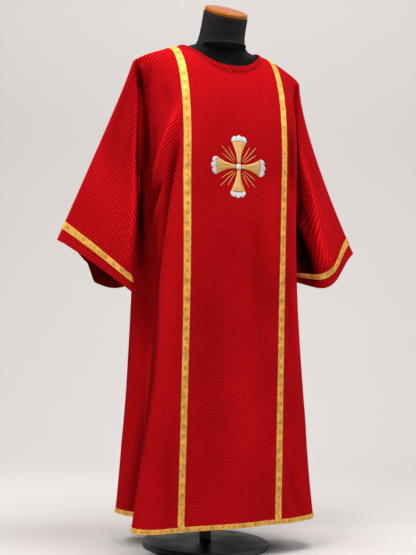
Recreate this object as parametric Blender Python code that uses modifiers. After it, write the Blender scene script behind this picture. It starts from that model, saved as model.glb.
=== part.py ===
"""Dalmatic on a limbless dress form, with its stand.

Metres, +Z up, the front towards -Y, the wearer's left towards +X.
The origin is on the floor, under the middle of the stand.
Each cloth piece is a wall between two skins, set off from a middle
surface that comes from named sizes and short tables.
"""
import math

import bmesh
import bpy
import numpy as np
from mathutils import Matrix, Vector

for leftover in list(bpy.data.objects):
    bpy.data.objects.remove(leftover, do_unlink=True)

# ---- driving sizes ------------------------------------------------------
WALL = 0.0020          # brocade with its backing
GAP = 0.0003           # between pieces that touch
HEM_Z = 0.084          # hem above the floor
ARMPIT_Z = 1.000       # where side seam and underarm seam meet
NECK_SIDE_Z = 1.339    # shoulder seam where it meets the neck binding
SHOULDER_SLOPE = 0.340
SHOULDER_ROUND = 0.080  # keeps the shoulder curve smooth across the neck
SHOULDER_DROP = 0.005   # extra fall at the shoulder's rounded end
SHOULDER_DROP_AT = 0.250
SHOULDER_Y = 0.0
SHOULDER_END = {"right": 0.250, "left": 0.262}
SEAM_ANGLE = {"right": 101.0, "left": 95.0}   # side seams, degrees from the front
FRONT_SWING = (-0.032, -0.016)   # sideways hang of the front's middle, at hem and armpit

NECK_WIDTH = 0.122     # half width of the neck hole at the binding's outer edge
NECK_FRONT = 0.1015     # how far it reaches forward
NECK_BACK = 0.072      # and back
NECK_SQUARE = 2.25     # roundness of its outline
BINDING_WIDTH = 0.010
BINDING_WALL = 0.0034

CLAVUS_MIDDLE = 0.147  # from the centre line to the middle of a clavus
CLAVUS_WIDTH = 0.0190
TRIM_WALL = 0.0012     # woven galloon
HEM_GALLOON = 0.0125
CUFF_BAND = 0.020
CUFF_MARGIN = 0.030    # cloth between the band and the sleeve's edge
ARMHOLE_OPEN = 0.021   # half width of the armhole, front to back
ARMHOLE_ROUND = 0.5    # below one, its ends are blunter

SKIRT_ROWS = 9
YOKE_ROWS = 12
YOKE_CROWD = 1.4       # above one, rows crowd towards the armpit
NECK_COLUMNS = 12
SIDE_COLUMNS = 6
SLEEVE_ROWS = 9
RING_STEPS = 481

# Horizontal sections of the body, as half widths and depths of a rounded box.
SECTIONS = [
    # height right   left   front   back  squareness
    (0.084, 0.232, 0.240, 0.190, 0.190, 3.2),
    (0.420, 0.214, 0.228, 0.172, 0.174, 3.4),
    (0.760, 0.204, 0.214, 0.157, 0.159, 3.7),
    (1.000, 0.203, 0.216, 0.150, 0.147, 3.6),
]
# Folds: ridges stand out, valleys go in. They turn on their way up and fade out there.
FOLDS = [
    # angle  turn  spread  depth   top   power
    (-61.0, 11.0, 14.0, 0.088, 1.080, 0.85),    # ridge by the right clavus
    (-95.0, 4.0, 19.0, -0.056, 1.080, 0.6),     # deep valley at the right side seam
    (-138.0, 0.0, 15.0, 0.014, 0.800, 1.0),
    (-161.0, 0.0, 10.0, -0.018, 0.900, 1.1),
    (-180.0, 0.0, 10.0, 0.010, 0.800, 1.0),
    (180.0, 0.0, 10.0, 0.010, 0.800, 1.0),
    (158.0, 0.0, 11.0, -0.020, 0.860, 1.0),
    (136.0, 0.0, 14.0, 0.018, 0.780, 1.0),
    (103.0, 0.0, 15.0, -0.040, 0.900, 0.9),     # valley at the left side seam
    (70.0, 0.0, 19.0, 0.047, 0.900, 1.7),       # flare at the left
    (24.0, 0.0, 11.0, -0.008, 0.780, 1.0),
]

# Sleeves. Each row is one station between the armhole and the cuff: where the
# front and back ridges lie between the top line and the underarm, how far they
# stand out, and how far they sag below the straight cut.
SLEEVES = {
    "right": {
        "side": -1.0,
        "cuff_top": (0.455, 0.812),
        "cuff_low": (0.262, 0.698),
        "top_bend": 1.04,
        "stations": [
            # t  front_share fore front_sag back_share aft back_sag
            (0.00, 0.50, 0.024, 0.000, 0.50, 0.024, 0.000),
            (0.25, 0.46, 0.060, 0.000, 0.54, 0.046, 0.000),
            (0.50, 0.52, 0.080, 0.000, 0.60, 0.088, 0.002),
            (0.75, 0.60, 0.086, 0.002, 0.60, 0.086, 0.010),
            (1.00, 0.70, 0.086, 0.006, 0.62, 0.078, 0.026),
        ],
    },
    "left": {
        "side": 1.0,
        "cuff_top": (0.468, 0.808),
        "cuff_low": (0.262, 0.722),
        "top_bend": 1.35,
        "stations": [
            (0.00, 0.50, 0.024, 0.000, 0.50, 0.024, 0.000),
            (0.25, 0.46, 0.046, 0.000, 0.56, 0.058, 0.000),
            (0.50, 0.50, 0.086, 0.000, 0.66, 0.084, 0.002),
            (0.75, 0.52, 0.108, 0.009, 0.70, 0.094, 0.008),
            (1.00, 0.54, 0.108, 0.033, 0.74, 0.100, 0.016),
        ],
    },
}
SLEEVE_PINCH = {"front": 1.0, "back": 2.2}   # how flat each layer hangs under the top line
SLEEVE_ROUND = 0.16      # share of a plain round profile, which keeps the top line open
UNDERARM_BEND = 0.32     # how soon the underarm line leaves the body
MITRE_LIMIT = 0.50
ARMHOLE_REACH = 0.30     # share of the sleeve that still follows the armhole

# Dress form: rings as half width, depth forward and depth back.
FORM_RINGS = [
    # height width  front  back  squareness
    (0.620, 0.140, 0.085, 0.095, 2.2),
    (0.640, 0.156, 0.098, 0.110, 2.2),
    (0.730, 0.170, 0.108, 0.122, 2.2),
    (0.820, 0.165, 0.102, 0.112, 2.2),
    (0.930, 0.138, 0.088, 0.086, 2.2),
    (1.030, 0.146, 0.102, 0.088, 2.2),
    (1.120, 0.163, 0.114, 0.100, 2.2),
    (1.190, 0.177, 0.106, 0.102, 2.2),
    (1.245, 0.196, 0.084, 0.084, 2.2),
    (1.278, 0.212, 0.058, 0.058, 2.1),
]
FORM_SHOULDERS = [0.218, 0.200, 0.178, 0.152, 0.124, 0.098]   # half widths on the shoulder line
FORM_SHOULDER_DEPTH = (0.036, 0.040)                   # at the shoulder's end and at the neck
NECK_FOOT_Y = -0.012
NECK_RADIUS = 0.0602
NECK_LEAN = math.radians(23.0)
NECK_TOP = (-0.003, -0.042, 1.432)
CAP_RADIUS = 0.0585
CAP_THICKNESS = 0.0115
POLE_RADIUS = 0.016
BASE_RADIUS = 0.170
BASE_THICKNESS = 0.016

# Chest cross: flared arms with three-lobed caps round a small boss.
CROSS_Z = 1.0165
CROSS_ARM = (0.0095, 0.0620)   # where an arm starts and ends
CROSS_HALF = (0.0050, 0.0210)  # its half width there
CROSS_CAP = (0.0010, 0.0085, 0.0170)   # gap, least and greatest depth of a cap
CROSS_BOSS = 0.0080
CROSS_WALL = 0.0014
CROSS_LIFT = 0.0006      # clear of the panel's flats
ARM_STEPS = 7
CAP_STEPS = 18

COLORS = {
    "cloth": (0.42, 0.004, 0.012, 1.0),
    "gold": (0.78, 0.47, 0.10, 1.0),
    "silver": (0.72, 0.72, 0.74, 1.0),
    "form": (0.012, 0.012, 0.014, 1.0),
    "wood": (0.48, 0.19, 0.045, 1.0),
    "steel": (0.03, 0.03, 0.033, 1.0),
}
ROUGHNESS = {"cloth": 0.6, "gold": 0.38, "silver": 0.4, "form": 0.9, "wood": 0.3, "steel": 0.45}
METALLIC = {"cloth": 0.0, "gold": 0.5, "silver": 0.5, "form": 0.0, "wood": 0.0, "steel": 0.8}


# ---- reading the tables -------------------------------------------------
def smooth_rows(rows, key):
    """All columns of a table at one key, on a smooth curve through its rows."""
    table = np.array(rows)
    degree = len(rows) - 1
    return [np.polyval(np.polyfit(table[:, 0], table[:, column], degree), key)
            for column in range(1, table.shape[1])]


def shoulder_height(x):
    """Height of the shoulder line at a distance from the middle."""
    run = np.hypot(x, SHOULDER_ROUND) - math.hypot(NECK_WIDTH, SHOULDER_ROUND)
    drop = SHOULDER_DROP * (np.abs(x) / SHOULDER_DROP_AT) ** 8
    return NECK_SIDE_Z - SHOULDER_SLOPE * run - drop


# ---- body ---------------------------------------------------------------
def section_outline(height, angles):
    """x and y of the body's section; angles from the front centre to the left."""
    right, left, front, back, square = smooth_rows(SECTIONS, height)
    across, along = np.sin(angles), np.cos(angles)
    half = np.where(across < 0, right, left)
    depth = np.where(along > 0, front, back)
    radius = ((abs(across) / half) ** square + (abs(along) / depth) ** square) ** (-1 / square)
    degrees = (np.degrees(angles) + 180.0) % 360.0 - 180.0
    for angle, turn, spread, out, top, power in FOLDS:
        left_over = max(0.0, (top - height) / (top - HEM_Z))
        grown = left_over ** power
        away = abs(degrees - angle - turn * (1.0 - left_over))
        away = np.minimum(away, 360.0 - away)
        share = 0.5 if abs(angle) == 180.0 else 1.0
        radius = radius + share * out * grown * np.exp(-(away / spread) ** 2)
    return radius * across, -radius * along


def place_columns(columns, right_half, left_half):
    """Columns are metres out to the clavus, then even shares to the seam at 1."""
    edge = CLAVUS_MIDDLE + CLAVUS_WIDTH / 2
    placed = []
    for column in columns:
        half = left_half if column > 0 else right_half
        if abs(column) <= edge:
            placed.append(column)
        else:
            share = (abs(column) - edge) / (1.0 - edge)
            placed.append(math.copysign(edge + share * (half - edge), column))
    return np.array(placed)


def face_section(face, height, columns):
    """Points of one face's columns at one height below the armpit."""
    if face == "front":
        angles = np.radians(np.linspace(-SEAM_ANGLE["right"], SEAM_ANGLE["left"], RING_STEPS))
    else:
        angles = np.radians(np.linspace(180.0 + (180.0 - SEAM_ANGLE["right"]),
                                        SEAM_ANGLE["left"], RING_STEPS))
    x, y = section_outline(height, angles)
    run = np.concatenate([[0.0], np.cumsum(np.hypot(np.diff(x), np.diff(y)))])
    share = (height - HEM_Z) / (ARMPIT_Z - HEM_Z)
    middle = FRONT_SWING[0] + (FRONT_SWING[1] - FRONT_SWING[0]) * share if face == "front" else 0.0
    run = run - np.interp(middle, x, run)
    placed = place_columns(columns, -run[0], run[-1])
    return np.interp(placed, run, x), np.interp(placed, run, y)


def neck_edge(x, face, inset=0.0):
    """Y of the neck hole's edge at a distance from the middle."""
    reach = (NECK_FRONT if face == "front" else NECK_BACK) - inset
    half = NECK_WIDTH - inset
    sign = -1.0 if face == "front" else 1.0
    return sign * reach * max(0.0, 1.0 - abs(x / half) ** NECK_SQUARE) ** (1 / NECK_SQUARE)


def face_points(face, columns, level):
    """Points of a face's middle surface.

    Up to zero a level is in metres from the armpit, below it. Above zero it is
    the turn, in radians, from the armpit up to the shoulder line at a right angle.
    """
    columns = np.array(columns)
    if np.max(level) <= 0.0:
        x, y = face_section(face, ARMPIT_Z + float(np.max(level)), columns)
        return np.stack([x, y, np.full(len(x), ARMPIT_Z + float(np.max(level)))], axis=1)
    chest_x, chest_y = face_section(face, ARMPIT_Z, columns)
    tops = place_columns(columns, SHOULDER_END["right"], SHOULDER_END["left"])
    sign = -1.0 if face == "front" else 1.0
    edge_weight = np.clip((abs(columns) - 0.45) / 0.55, 0.0, 1.0) ** 2
    x = chest_x + (tops - chest_x) * np.sin(level) ** 2
    y = SHOULDER_Y + (chest_y - SHOULDER_Y) * np.cos(level)
    double = np.sin(2 * np.array(level))
    y = y + sign * ARMHOLE_OPEN * np.sign(double) * abs(double) ** ARMHOLE_ROUND * edge_weight
    z = ARMPIT_Z + (shoulder_height(tops) - ARMPIT_Z) * np.sin(level)
    return np.stack([x, y, z], axis=1)


def face_normals(face, columns, level):
    """Outward normals of a face's middle surface at the same places."""
    columns = np.array(columns)
    step = 1e-3
    across = face_points(face, columns + step, level) - face_points(face, columns - step, level)
    along = face_points(face, columns, level + step) - face_points(face, columns, level - step)
    sign = 1.0 if face == "front" else -1.0
    return sign * unit(np.cross(across, along))


def neck_turns(face, columns, inset=0.0):
    """Turn at which each column ends, on the neck hole or on the shoulder line."""
    tops = place_columns(columns, SHOULDER_END["right"], SHOULDER_END["left"])
    depths = face_section(face, ARMPIT_Z, columns)[1] - SHOULDER_Y
    ends = []
    for column, top_x, depth in zip(columns, tops, depths):
        if abs(column) < NECK_WIDTH - inset - 1e-6:
            ends.append(math.acos(min(1.0, (neck_edge(top_x, face, inset) - SHOULDER_Y) / depth)))
        else:
            ends.append(math.pi / 2)
    return np.array(ends)


def face_grid(face, columns, heights, steps):
    """Middle surface of one face and its normals, in rows from the hem to the shoulder."""
    ends = neck_turns(face, columns)
    levels = [height - ARMPIT_Z for height in heights] + [ends * step for step in steps]
    points = np.array([face_points(face, columns, level) for level in levels])
    normals = np.array([face_normals(face, columns, level) for level in levels])
    return points, normals


def panel_columns():
    """Column places of a panel, with the clavus edges and the neck's side on them."""
    inner = CLAVUS_MIDDLE - CLAVUS_WIDTH / 2
    outer = CLAVUS_MIDDLE + CLAVUS_WIDTH / 2
    neck = [NECK_WIDTH * math.sin(math.pi * (k / NECK_COLUMNS - 0.5)) for k in range(NECK_COLUMNS + 1)]
    sides = [outer + (1.0 - outer) * k / SIDE_COLUMNS for k in range(1, SIDE_COLUMNS + 1)]
    right = [-side for side in reversed(sides)] + [-outer, -inner]
    return right + neck + [inner, outer] + sides


# ---- normals and walls --------------------------------------------------
def unit(vectors):
    return vectors / np.maximum(np.linalg.norm(vectors, axis=-1, keepdims=True), 1e-12)


def grid_normals(grid, loops=False):
    """Normals of a grid of points; loops means that each row is a closed ring."""
    if loops:
        padded = np.concatenate([grid[:, -1:], grid, grid[:, :1]], axis=1)
        across = (padded[:, 2:] - padded[:, :-2])
    else:
        across = np.gradient(grid, axis=1)
    along = np.gradient(grid, axis=0)
    return unit(np.cross(across, along))


def outward(normals, rings):
    """Normals turned to point away from the middles of their rings."""
    away = rings - rings.mean(axis=1, keepdims=True)
    return normals * np.sign(np.sum(normals * away))


def share_normals(*corners):
    """Gives seam points of several grids one mitred direction."""
    total = unit(sum(unit(normals[index]) * share for normals, index, share in corners))
    lean = min(float(np.dot(total, unit(normals[index]))) for normals, index, _ in corners)
    for normals, index, _ in corners:
        normals[index] = total / max(MITRE_LIMIT, lean)


def new_object(name, verts, faces, finish):
    mesh = bpy.data.meshes.new(name)
    mesh.from_pydata([tuple(v) for v in verts], [], faces)
    mesh.validate()
    shell = bmesh.new()
    shell.from_mesh(mesh)
    if shell.calc_volume(signed=True) < 0:
        bmesh.ops.reverse_faces(shell, faces=shell.faces)
    shell.to_mesh(mesh)
    shell.free()
    mesh.shade_smooth()
    mesh.set_sharp_from_angle(angle=math.radians(40.0))
    return add_object(name, mesh, finish)


def add_object(name, mesh, finish):
    made = bpy.data.objects.new(name, mesh)
    collection.objects.link(made)
    mesh.materials.append(materials[finish])
    return made


def grid_wall(name, middle, normals, low, high, finish, loops=False, pull=(0.0, 0.0)):
    """Closed wall between two skins, set off from a grid along its normals.

    With loops each row is a closed ring, so the wall is a tube open at both ends.
    Both skins are cut along the same diagonals, so they can't cross.
    """
    rows, columns = middle.shape[:2]
    inner = pull_in(middle + normals * low, *pull, loops)
    outer = pull_in(middle + normals * high, *pull, loops)
    verts = list(inner.reshape(-1, 3)) + list(outer.reshape(-1, 3))
    shift = rows * columns
    spans = columns if loops else columns - 1
    faces = []
    for row in range(rows - 1):
        for column in range(spans):
            after = (column + 1) % columns
            corner = row * columns
            quad = (corner + column, corner + after, corner + columns + after, corner + columns + column)
            straight = np.linalg.norm(middle[row, column] - middle[row + 1, after])
            crossed = np.linalg.norm(middle[row, after] - middle[row + 1, column])
            if straight > crossed:
                quad = quad[1:] + quad[:1]
            for half in ((quad[0], quad[1], quad[2]), (quad[0], quad[2], quad[3])):
                faces.append(half[::-1])
                faces.append(tuple(shift + v for v in half))
    rim = []
    for column in range(spans):
        after = (column + 1) % columns
        rim.append((column, after))
        top = (rows - 1) * columns
        rim.append((top + after, top + column))
    if not loops:
        for row in range(rows - 1):
            rim.append(((row + 1) * columns, row * columns))
            rim.append((row * columns + columns - 1, (row + 1) * columns + columns - 1))
    for first, second in rim:
        faces.append((first, second, shift + second, shift + first))
    return new_object(name, verts, faces, finish)


def square_to(edge, beside, loops):
    """Directions from an edge towards the line beside it, square to the edge."""
    if loops:
        line = unit(np.roll(edge, -1, axis=0) - np.roll(edge, 1, axis=0))
    else:
        line = unit(np.gradient(edge, axis=0))
    toward = beside - edge
    return unit(toward - line * np.sum(toward * line, axis=1, keepdims=True))


def pull_in(grid, at_rows, at_columns, loops=False):
    """Moves the edges of a grid inwards, square to each edge."""
    pulled = grid.copy()
    if at_rows:
        pulled[0] += at_rows * square_to(grid[0], grid[1], loops)
        pulled[-1] += at_rows * square_to(grid[-1], grid[-2], loops)
    if at_columns:
        pulled[:, 0] += at_columns * square_to(grid[:, 0], grid[:, 1], False)
        pulled[:, -1] += at_columns * square_to(grid[:, -1], grid[:, -2], False)
    return pulled


# ---- sleeves ------------------------------------------------------------
def sleeve_profile(turn, pinch):
    """Profile across a sleeve: flat under the top line, full near the underarm."""
    widest = math.acos(-pinch / (1 + pinch))
    peak = math.sin(widest) * ((1 - math.cos(widest)) / 2) ** pinch
    drop = np.sin(turn) * ((1 - np.cos(turn)) / 2) ** pinch / peak
    return drop + SLEEVE_ROUND * (np.sin(turn) - drop)


def sleeve_ring(spec, ends, turn, t):
    """One ring of a sleeve at a share of the way from its armhole to its cuff."""
    top_start, low_start, top_end, low_end = ends
    top = top_start + (top_end - top_start) * np.array([t ** spec["top_bend"], t, t])
    low = low_start + (low_end - low_start) * np.array([t ** UNDERARM_BEND, t, t])
    front_share, fore, front_sag, back_share, aft, back_sag = smooth_rows(spec["stations"], t)
    ahead = np.sin(turn) >= 0
    grown = min(1.0, 3 * t)
    ring = np.zeros((len(turn), 3))
    for mask, share, reach, sag, pinch in (
            (ahead, front_share, fore, front_sag, SLEEVE_PINCH["front"] * grown),
            (~ahead, back_share, aft, back_sag, SLEEVE_PINCH["back"] * grown)):
        # place on the chord from the top line (0) to the underarm (1)
        chord = (1 + 2 * share) / 4 - 0.5 * np.cos(turn) + (1 - 2 * share) / 4 * np.cos(2 * turn)
        profile = sleeve_profile(turn, pinch)
        layer = top + (low - top) * chord[:, None]
        layer[:, 1] -= reach * profile
        layer[:, 2] -= sag * profile ** 2
        ring[mask] = layer[mask]
    return ring


def sleeve_rings(spec, armhole, stations):
    """Rings of a sleeve from the armhole loop to the cuff."""
    count = len(armhole)
    ends = (armhole[0], armhole[count // 2],
            np.array([spec["side"] * spec["cuff_top"][0], 0.0, spec["cuff_top"][1]]),
            np.array([spec["side"] * spec["cuff_low"][0], 0.0, spec["cuff_low"][1]]))
    turn = 2 * math.pi * np.arange(count) / count
    shift = armhole - sleeve_ring(spec, ends, turn, 0.0)
    return np.array([sleeve_ring(spec, ends, turn, t) + shift * max(0.0, 1.0 - t / ARMHOLE_REACH) ** 2
                     for t in stations])


def arc_stations(spec, armhole):
    """Station shares, with rows on both edges of the cuff band."""
    length = np.linalg.norm(np.array([spec["side"] * spec["cuff_top"][0], 0.0, spec["cuff_top"][1]])
                            - armhole[0])
    low_edge = 1.0 - CUFF_MARGIN / length
    high_edge = low_edge - CUFF_BAND / length
    even = [high_edge * k / SLEEVE_ROWS for k in range(SLEEVE_ROWS + 1)]
    return even + [low_edge, 1.0]


# ---- build --------------------------------------------------------------
def make_materials():
    made = {}
    for name, color in COLORS.items():
        material = bpy.data.materials.new(name)
        material.use_nodes = True
        shader = material.node_tree.nodes["Principled BSDF"]
        shader.inputs["Base Color"].default_value = color
        shader.inputs["Roughness"].default_value = ROUGHNESS[name]
        shader.inputs["Metallic"].default_value = METALLIC[name]
        made[name] = material
    return made


def skirt_heights():
    low = HEM_Z + HEM_GALLOON
    rest = [low + (ARMPIT_Z - low) * k / SKIRT_ROWS for k in range(1, SKIRT_ROWS + 1)]
    return [HEM_Z, low] + rest


def build_cloth():
    columns = panel_columns()
    heights = skirt_heights()
    steps = [((k + 1) / YOKE_ROWS) ** YOKE_CROWD for k in range(YOKE_ROWS)]
    grids, normals = {}, {}
    for face in ("front", "back"):
        grids[face], normals[face] = face_grid(face, columns, heights, steps)
    armpit = len(heights) - 1
    last = len(columns) - 1
    top = armpit + YOKE_ROWS
    edges = {"right": 0, "left": last}

    sleeves = {}
    for name, spec in SLEEVES.items():
        edge = edges[name]
        down = [grids["front"][row, edge] for row in range(top, armpit, -1)]
        up = [grids["back"][row, edge] for row in range(armpit, top)]
        armhole = np.array(down + up)
        stations = arc_stations(spec, armhole)
        rings = sleeve_rings(spec, armhole, stations)
        rings[0] = armhole
        ring_normals = outward(grid_normals(rings, loops=True), rings)
        sleeves[name] = (rings, ring_normals)

    # one direction for all the pieces that meet at a seam point
    for name, edge in edges.items():
        rings, ring_normals = sleeves[name]
        count = rings.shape[1]
        for row in range(armpit):
            share_normals((normals["front"], (row, edge), 1), (normals["back"], (row, edge), 1))
        for k in range(1, YOKE_ROWS):
            share_normals((normals["front"], (top - k, edge), 1), (ring_normals, (0, k), 1))
            share_normals((normals["back"], (armpit + k, edge), 1), (ring_normals, (0, YOKE_ROWS + k), 1))
        for row, k in ((armpit, count // 2), (top, 0)):
            share_normals((normals["front"], (row, edge), 0.5), (normals["back"], (row, edge), 0.5),
                          (ring_normals, (0, k), 1))
    for column in range(1, last):
        if abs(columns[column]) > NECK_WIDTH - 1e-6:
            share_normals((normals["front"], (top, column), 1), (normals["back"], (top, column), 1))

    # the front is one piece, the back two halves with a seam down the middle
    half = WALL / 2
    middle = columns.index(0.0)
    for name, face, part in (("front_panel", "front", slice(0, last + 1)),
                             ("back_panel_right", "back", slice(0, middle + 1)),
                             ("back_panel_left", "back", slice(middle, last + 1))):
        grid_wall(name, grids[face][:, part], normals[face][:, part], -half, half, "cloth",
                  pull=(GAP / 2, GAP / 2))
    for name, (rings, ring_normals) in sleeves.items():
        grid_wall("sleeve_" + name, rings, ring_normals, -half, half, "cloth", loops=True,
                  pull=(GAP, 0.0))
        band = slice(len(rings) - 3, len(rings) - 1)
        grid_wall("cuff_band_" + name, rings[band], ring_normals[band], half + GAP,
                  half + GAP + TRIM_WALL, "gold", loops=True)

    build_clavi(columns, grids, normals)
    build_hem(grids, normals)
    build_binding(columns)


def build_clavi(columns, grids, normals):
    """One ribbon each side, up the front, over the shoulder and down the back."""
    inner = CLAVUS_MIDDLE - CLAVUS_WIDTH / 2
    pairs = {"right": [columns.index(-inner) - 1, columns.index(-inner)],
             "left": [columns.index(inner), columns.index(inner) + 1]}
    for name, pair in pairs.items():
        front = grids["front"][1:, pair], normals["front"][1:, pair]
        back = grids["back"][-2:0:-1, pair], normals["back"][-2:0:-1, pair]
        line = np.concatenate([front[0], back[0]])
        out = np.concatenate([front[1], back[1]])
        grid_wall("clavus_" + name, line, out, WALL / 2 + GAP, WALL / 2 + GAP + TRIM_WALL, "gold",
                  pull=(GAP, 0.0))


def build_hem(grids, normals):
    """Galloon right round the hem."""
    line = np.concatenate([grids["front"][:2], grids["back"][:2, -2:0:-1]], axis=1)
    out = np.concatenate([normals["front"][:2], normals["back"][:2, -2:0:-1]], axis=1)
    grid_wall("hem_galloon", line, out, WALL / 2 + GAP, WALL / 2 + GAP + TRIM_WALL, "gold", loops=True)


def build_binding(columns):
    """Binding round the neck hole, a thicker strip on from the panels' edge."""
    neck = [column for column in columns if abs(column) < NECK_WIDTH + 1e-6]
    rings, out = [], []
    for share, swell in ((0.0, 1.0), (0.5, 1.15), (1.0, 0.9)):
        inset = GAP + BINDING_WIDTH * share
        inner = np.array(neck) * (NECK_WIDTH - inset) / NECK_WIDTH
        points, normals = [], []
        for face in ("front", "back"):
            turns = neck_turns(face, inner, inset)
            points.append(face_points(face, inner, turns))
            normals.append(face_normals(face, inner, turns) * swell)
        rings.append(np.concatenate([points[0], points[1][-2:0:-1]]))
        out.append(np.concatenate([normals[0], normals[1][-2:0:-1]]))
    rings, out = np.array(rings), np.array(out)
    grid_wall("neck_binding", rings - unit(out) * WALL / 2, out, 0.0, BINDING_WALL, "cloth", loops=True)


def front_point(across, height):
    """Middle surface of the front at metres from its centre line and at a height."""
    if height <= ARMPIT_Z:
        x, y = face_section("front", height, [across])
        return np.array([x[0], y[0], height])
    x, y = face_section("front", ARMPIT_Z, [across])
    rise = (height - ARMPIT_Z) / (float(shoulder_height(across)) - ARMPIT_Z)
    turn = math.asin(rise)
    return np.array([x[0] + (across - x[0]) * rise ** 2,
                     SHOULDER_Y + (y[0] - SHOULDER_Y) * math.cos(turn), height])


def on_front(across, up):
    """A point of the cross, lifted off the cloth of the chest, and its normal."""
    step = 0.002
    height = CROSS_Z + up
    side = front_point(across + step, height) - front_point(across - step, height)
    rise = front_point(across, height + step) - front_point(across, height - step)
    normal = unit(np.cross(side, rise))
    return front_point(across, height) + normal * (WALL / 2 + CROSS_LIFT), normal


def cross_wall(name, outline_rows, turn, finish, loops=False):
    """Raised piece of the cross from rows of (along, across) points of an arm."""
    cos, sin = round(math.cos(turn)), round(math.sin(turn))
    points, out = [], []
    for row in outline_rows:
        placed = [on_front(along * sin + side * cos, along * cos - side * sin) for along, side in row]
        points.append([place for place, _ in placed])
        out.append([normal for _, normal in placed])
    grid_wall(name, np.array(points), np.array(out), 0.0, CROSS_WALL, finish, loops)


def build_cross():
    start, end = CROSS_ARM
    narrow, wide = CROSS_HALF
    arm = []
    for step in range(ARM_STEPS + 1):
        share = step / ARM_STEPS
        half = narrow + (wide - narrow) * share ** 2
        bulge = 0.004 * share ** 3
        arm.append([(start + (end - start) * share + bulge * (1 - side * side), half * side)
                    for side in (-1.0, -0.5, 0.0, 0.5, 1.0)])
    gap, least, most = CROSS_CAP
    cap = []
    for step in range(CAP_STEPS + 1):
        side = 2 * step / CAP_STEPS - 1
        inner = end + 0.004 * (1 - side * side) + gap
        deep = least + (most - least) * abs(math.sin(1.5 * math.pi * (side + 1))) ** 0.6
        spread = 1.0 + 0.18 * abs(side) ** 2
        cap.append([(inner, wide * side), (inner + deep * (1 - 0.5 * abs(side) ** 3), wide * side * spread)])
    for name, turn in (("up", 0.0), ("left", 0.5), ("down", 1.0), ("right", 1.5)):
        cross_wall("cross_arm_" + name, arm, math.pi * turn, "gold")
        cross_wall("cross_cap_" + name, cap, math.pi * turn, "silver")
    boss = [[(radius * math.cos(2 * math.pi * k / 16), radius * math.sin(2 * math.pi * k / 16))
             for k in range(16)] for radius in (CROSS_BOSS * 0.4, CROSS_BOSS)]
    cross_wall("cross_boss", boss, 0.0, "silver", loops=True)


def superellipse_ring(width, front, back, square, count):
    """Flat ring, counter-clockwise from the front centre."""
    points = []
    for k in range(count):
        angle = 2 * math.pi * k / count
        across, along = math.sin(angle), math.cos(angle)
        depth = front if along > 0 else back
        radius = ((abs(across) / width) ** square + (abs(along) / depth) ** square) ** (-1 / square)
        points.append((radius * across, -radius * along))
    return points


def closed_loft(name, rings, finish):
    """Closed solid through rings of equal count, with flat ends."""
    count = len(rings[0])
    verts = [point for ring in rings for point in ring]
    faces = [tuple(range(count)), tuple(range(len(verts) - count, len(verts)))[::-1]]
    for level in range(len(rings) - 1):
        base = level * count
        for k in range(count):
            after = (k + 1) % count
            faces.append((base + k, base + count + k, base + count + after, base + after))
    return new_object(name, verts, faces, finish)


def build_form():
    count = 28
    rings = []
    for height, width, front, back, square in FORM_RINGS:
        ring = superellipse_ring(width, front, back, square, count)
        rings.append([(x, y, height) for x, y in ring])
    clearance = WALL / 2 + GAP * 2
    for width in FORM_SHOULDERS:
        height = float(shoulder_height(width)) - clearance
        share = (width - FORM_SHOULDERS[0]) / (FORM_SHOULDERS[-1] - FORM_SHOULDERS[0])
        depth = FORM_SHOULDER_DEPTH[0] + (FORM_SHOULDER_DEPTH[1] - FORM_SHOULDER_DEPTH[0]) * share
        ring = superellipse_ring(width, depth, depth, 2.0, count)
        rings.append([(x, y, height) for x, y in ring])
    top = Vector(NECK_TOP)
    foot = Vector((0.0, NECK_FOOT_Y, float(shoulder_height(FORM_SHOULDERS[-1])) + 0.006))
    for share, swell in ((0.0, 1.16), (0.12, 1.07), (0.32, 1.02), (0.65, 1.0), (1.0, 1.0)):
        middle = foot.lerp(top, share)
        tilt = Matrix.Rotation(NECK_LEAN * share, 3, "X")
        ring = superellipse_ring(NECK_RADIUS * swell, NECK_RADIUS * swell, NECK_RADIUS * swell, 2.0, count)
        rings.append([tuple(middle + tilt @ Vector((x, y, 0.0))) for x, y in ring])
    closed_loft("form_torso", rings, "form")


def round_slab(name, radius, thickness, finish, bevel, sides=40):
    """Cylinder standing on its own origin, its edges rounded."""
    mesh = bpy.data.meshes.new(name)
    slab = bmesh.new()
    bmesh.ops.create_cone(slab, cap_ends=True, segments=sides, radius1=radius, radius2=radius,
                          depth=thickness, matrix=Matrix.Translation((0.0, 0.0, thickness / 2)))
    slab.to_mesh(mesh)
    slab.free()
    mesh.shade_smooth()
    mesh.set_sharp_from_angle(angle=math.radians(40.0))
    made = add_object(name, mesh, finish)
    if bevel:
        edge = made.modifiers.new("Rounded edge", "BEVEL")
        edge.width = bevel
        edge.segments = 2
        edge.limit_method = "ANGLE"
        edge.angle_limit = math.radians(60.0)
    return made


def build_stand():
    cap = round_slab("neck_cap", CAP_RADIUS, CAP_THICKNESS, "wood", 0.003)
    lean = Matrix.Rotation(NECK_LEAN, 3, "X")
    cap.rotation_euler = (NECK_LEAN, 0.0, 0.0)
    cap.location = Vector(NECK_TOP) + lean @ Vector((0.0, 0.0, GAP))
    round_slab("stand_base", BASE_RADIUS, BASE_THICKNESS, "steel", 0.004, sides=56)
    pole_foot = BASE_THICKNESS + GAP
    pole = round_slab("stand_pole", POLE_RADIUS, FORM_RINGS[0][0] - GAP - pole_foot, "steel", 0.0, sides=20)
    pole.location = (0.0, 0.0, pole_foot)


collection = bpy.data.collections.new("dalmatic")
bpy.context.scene.collection.children.link(collection)
materials = make_materials()
build_cloth()
build_cross()
build_form()
build_stand()
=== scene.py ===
import math

import bpy
import numpy as np
from mathutils import Matrix, Vector


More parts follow.
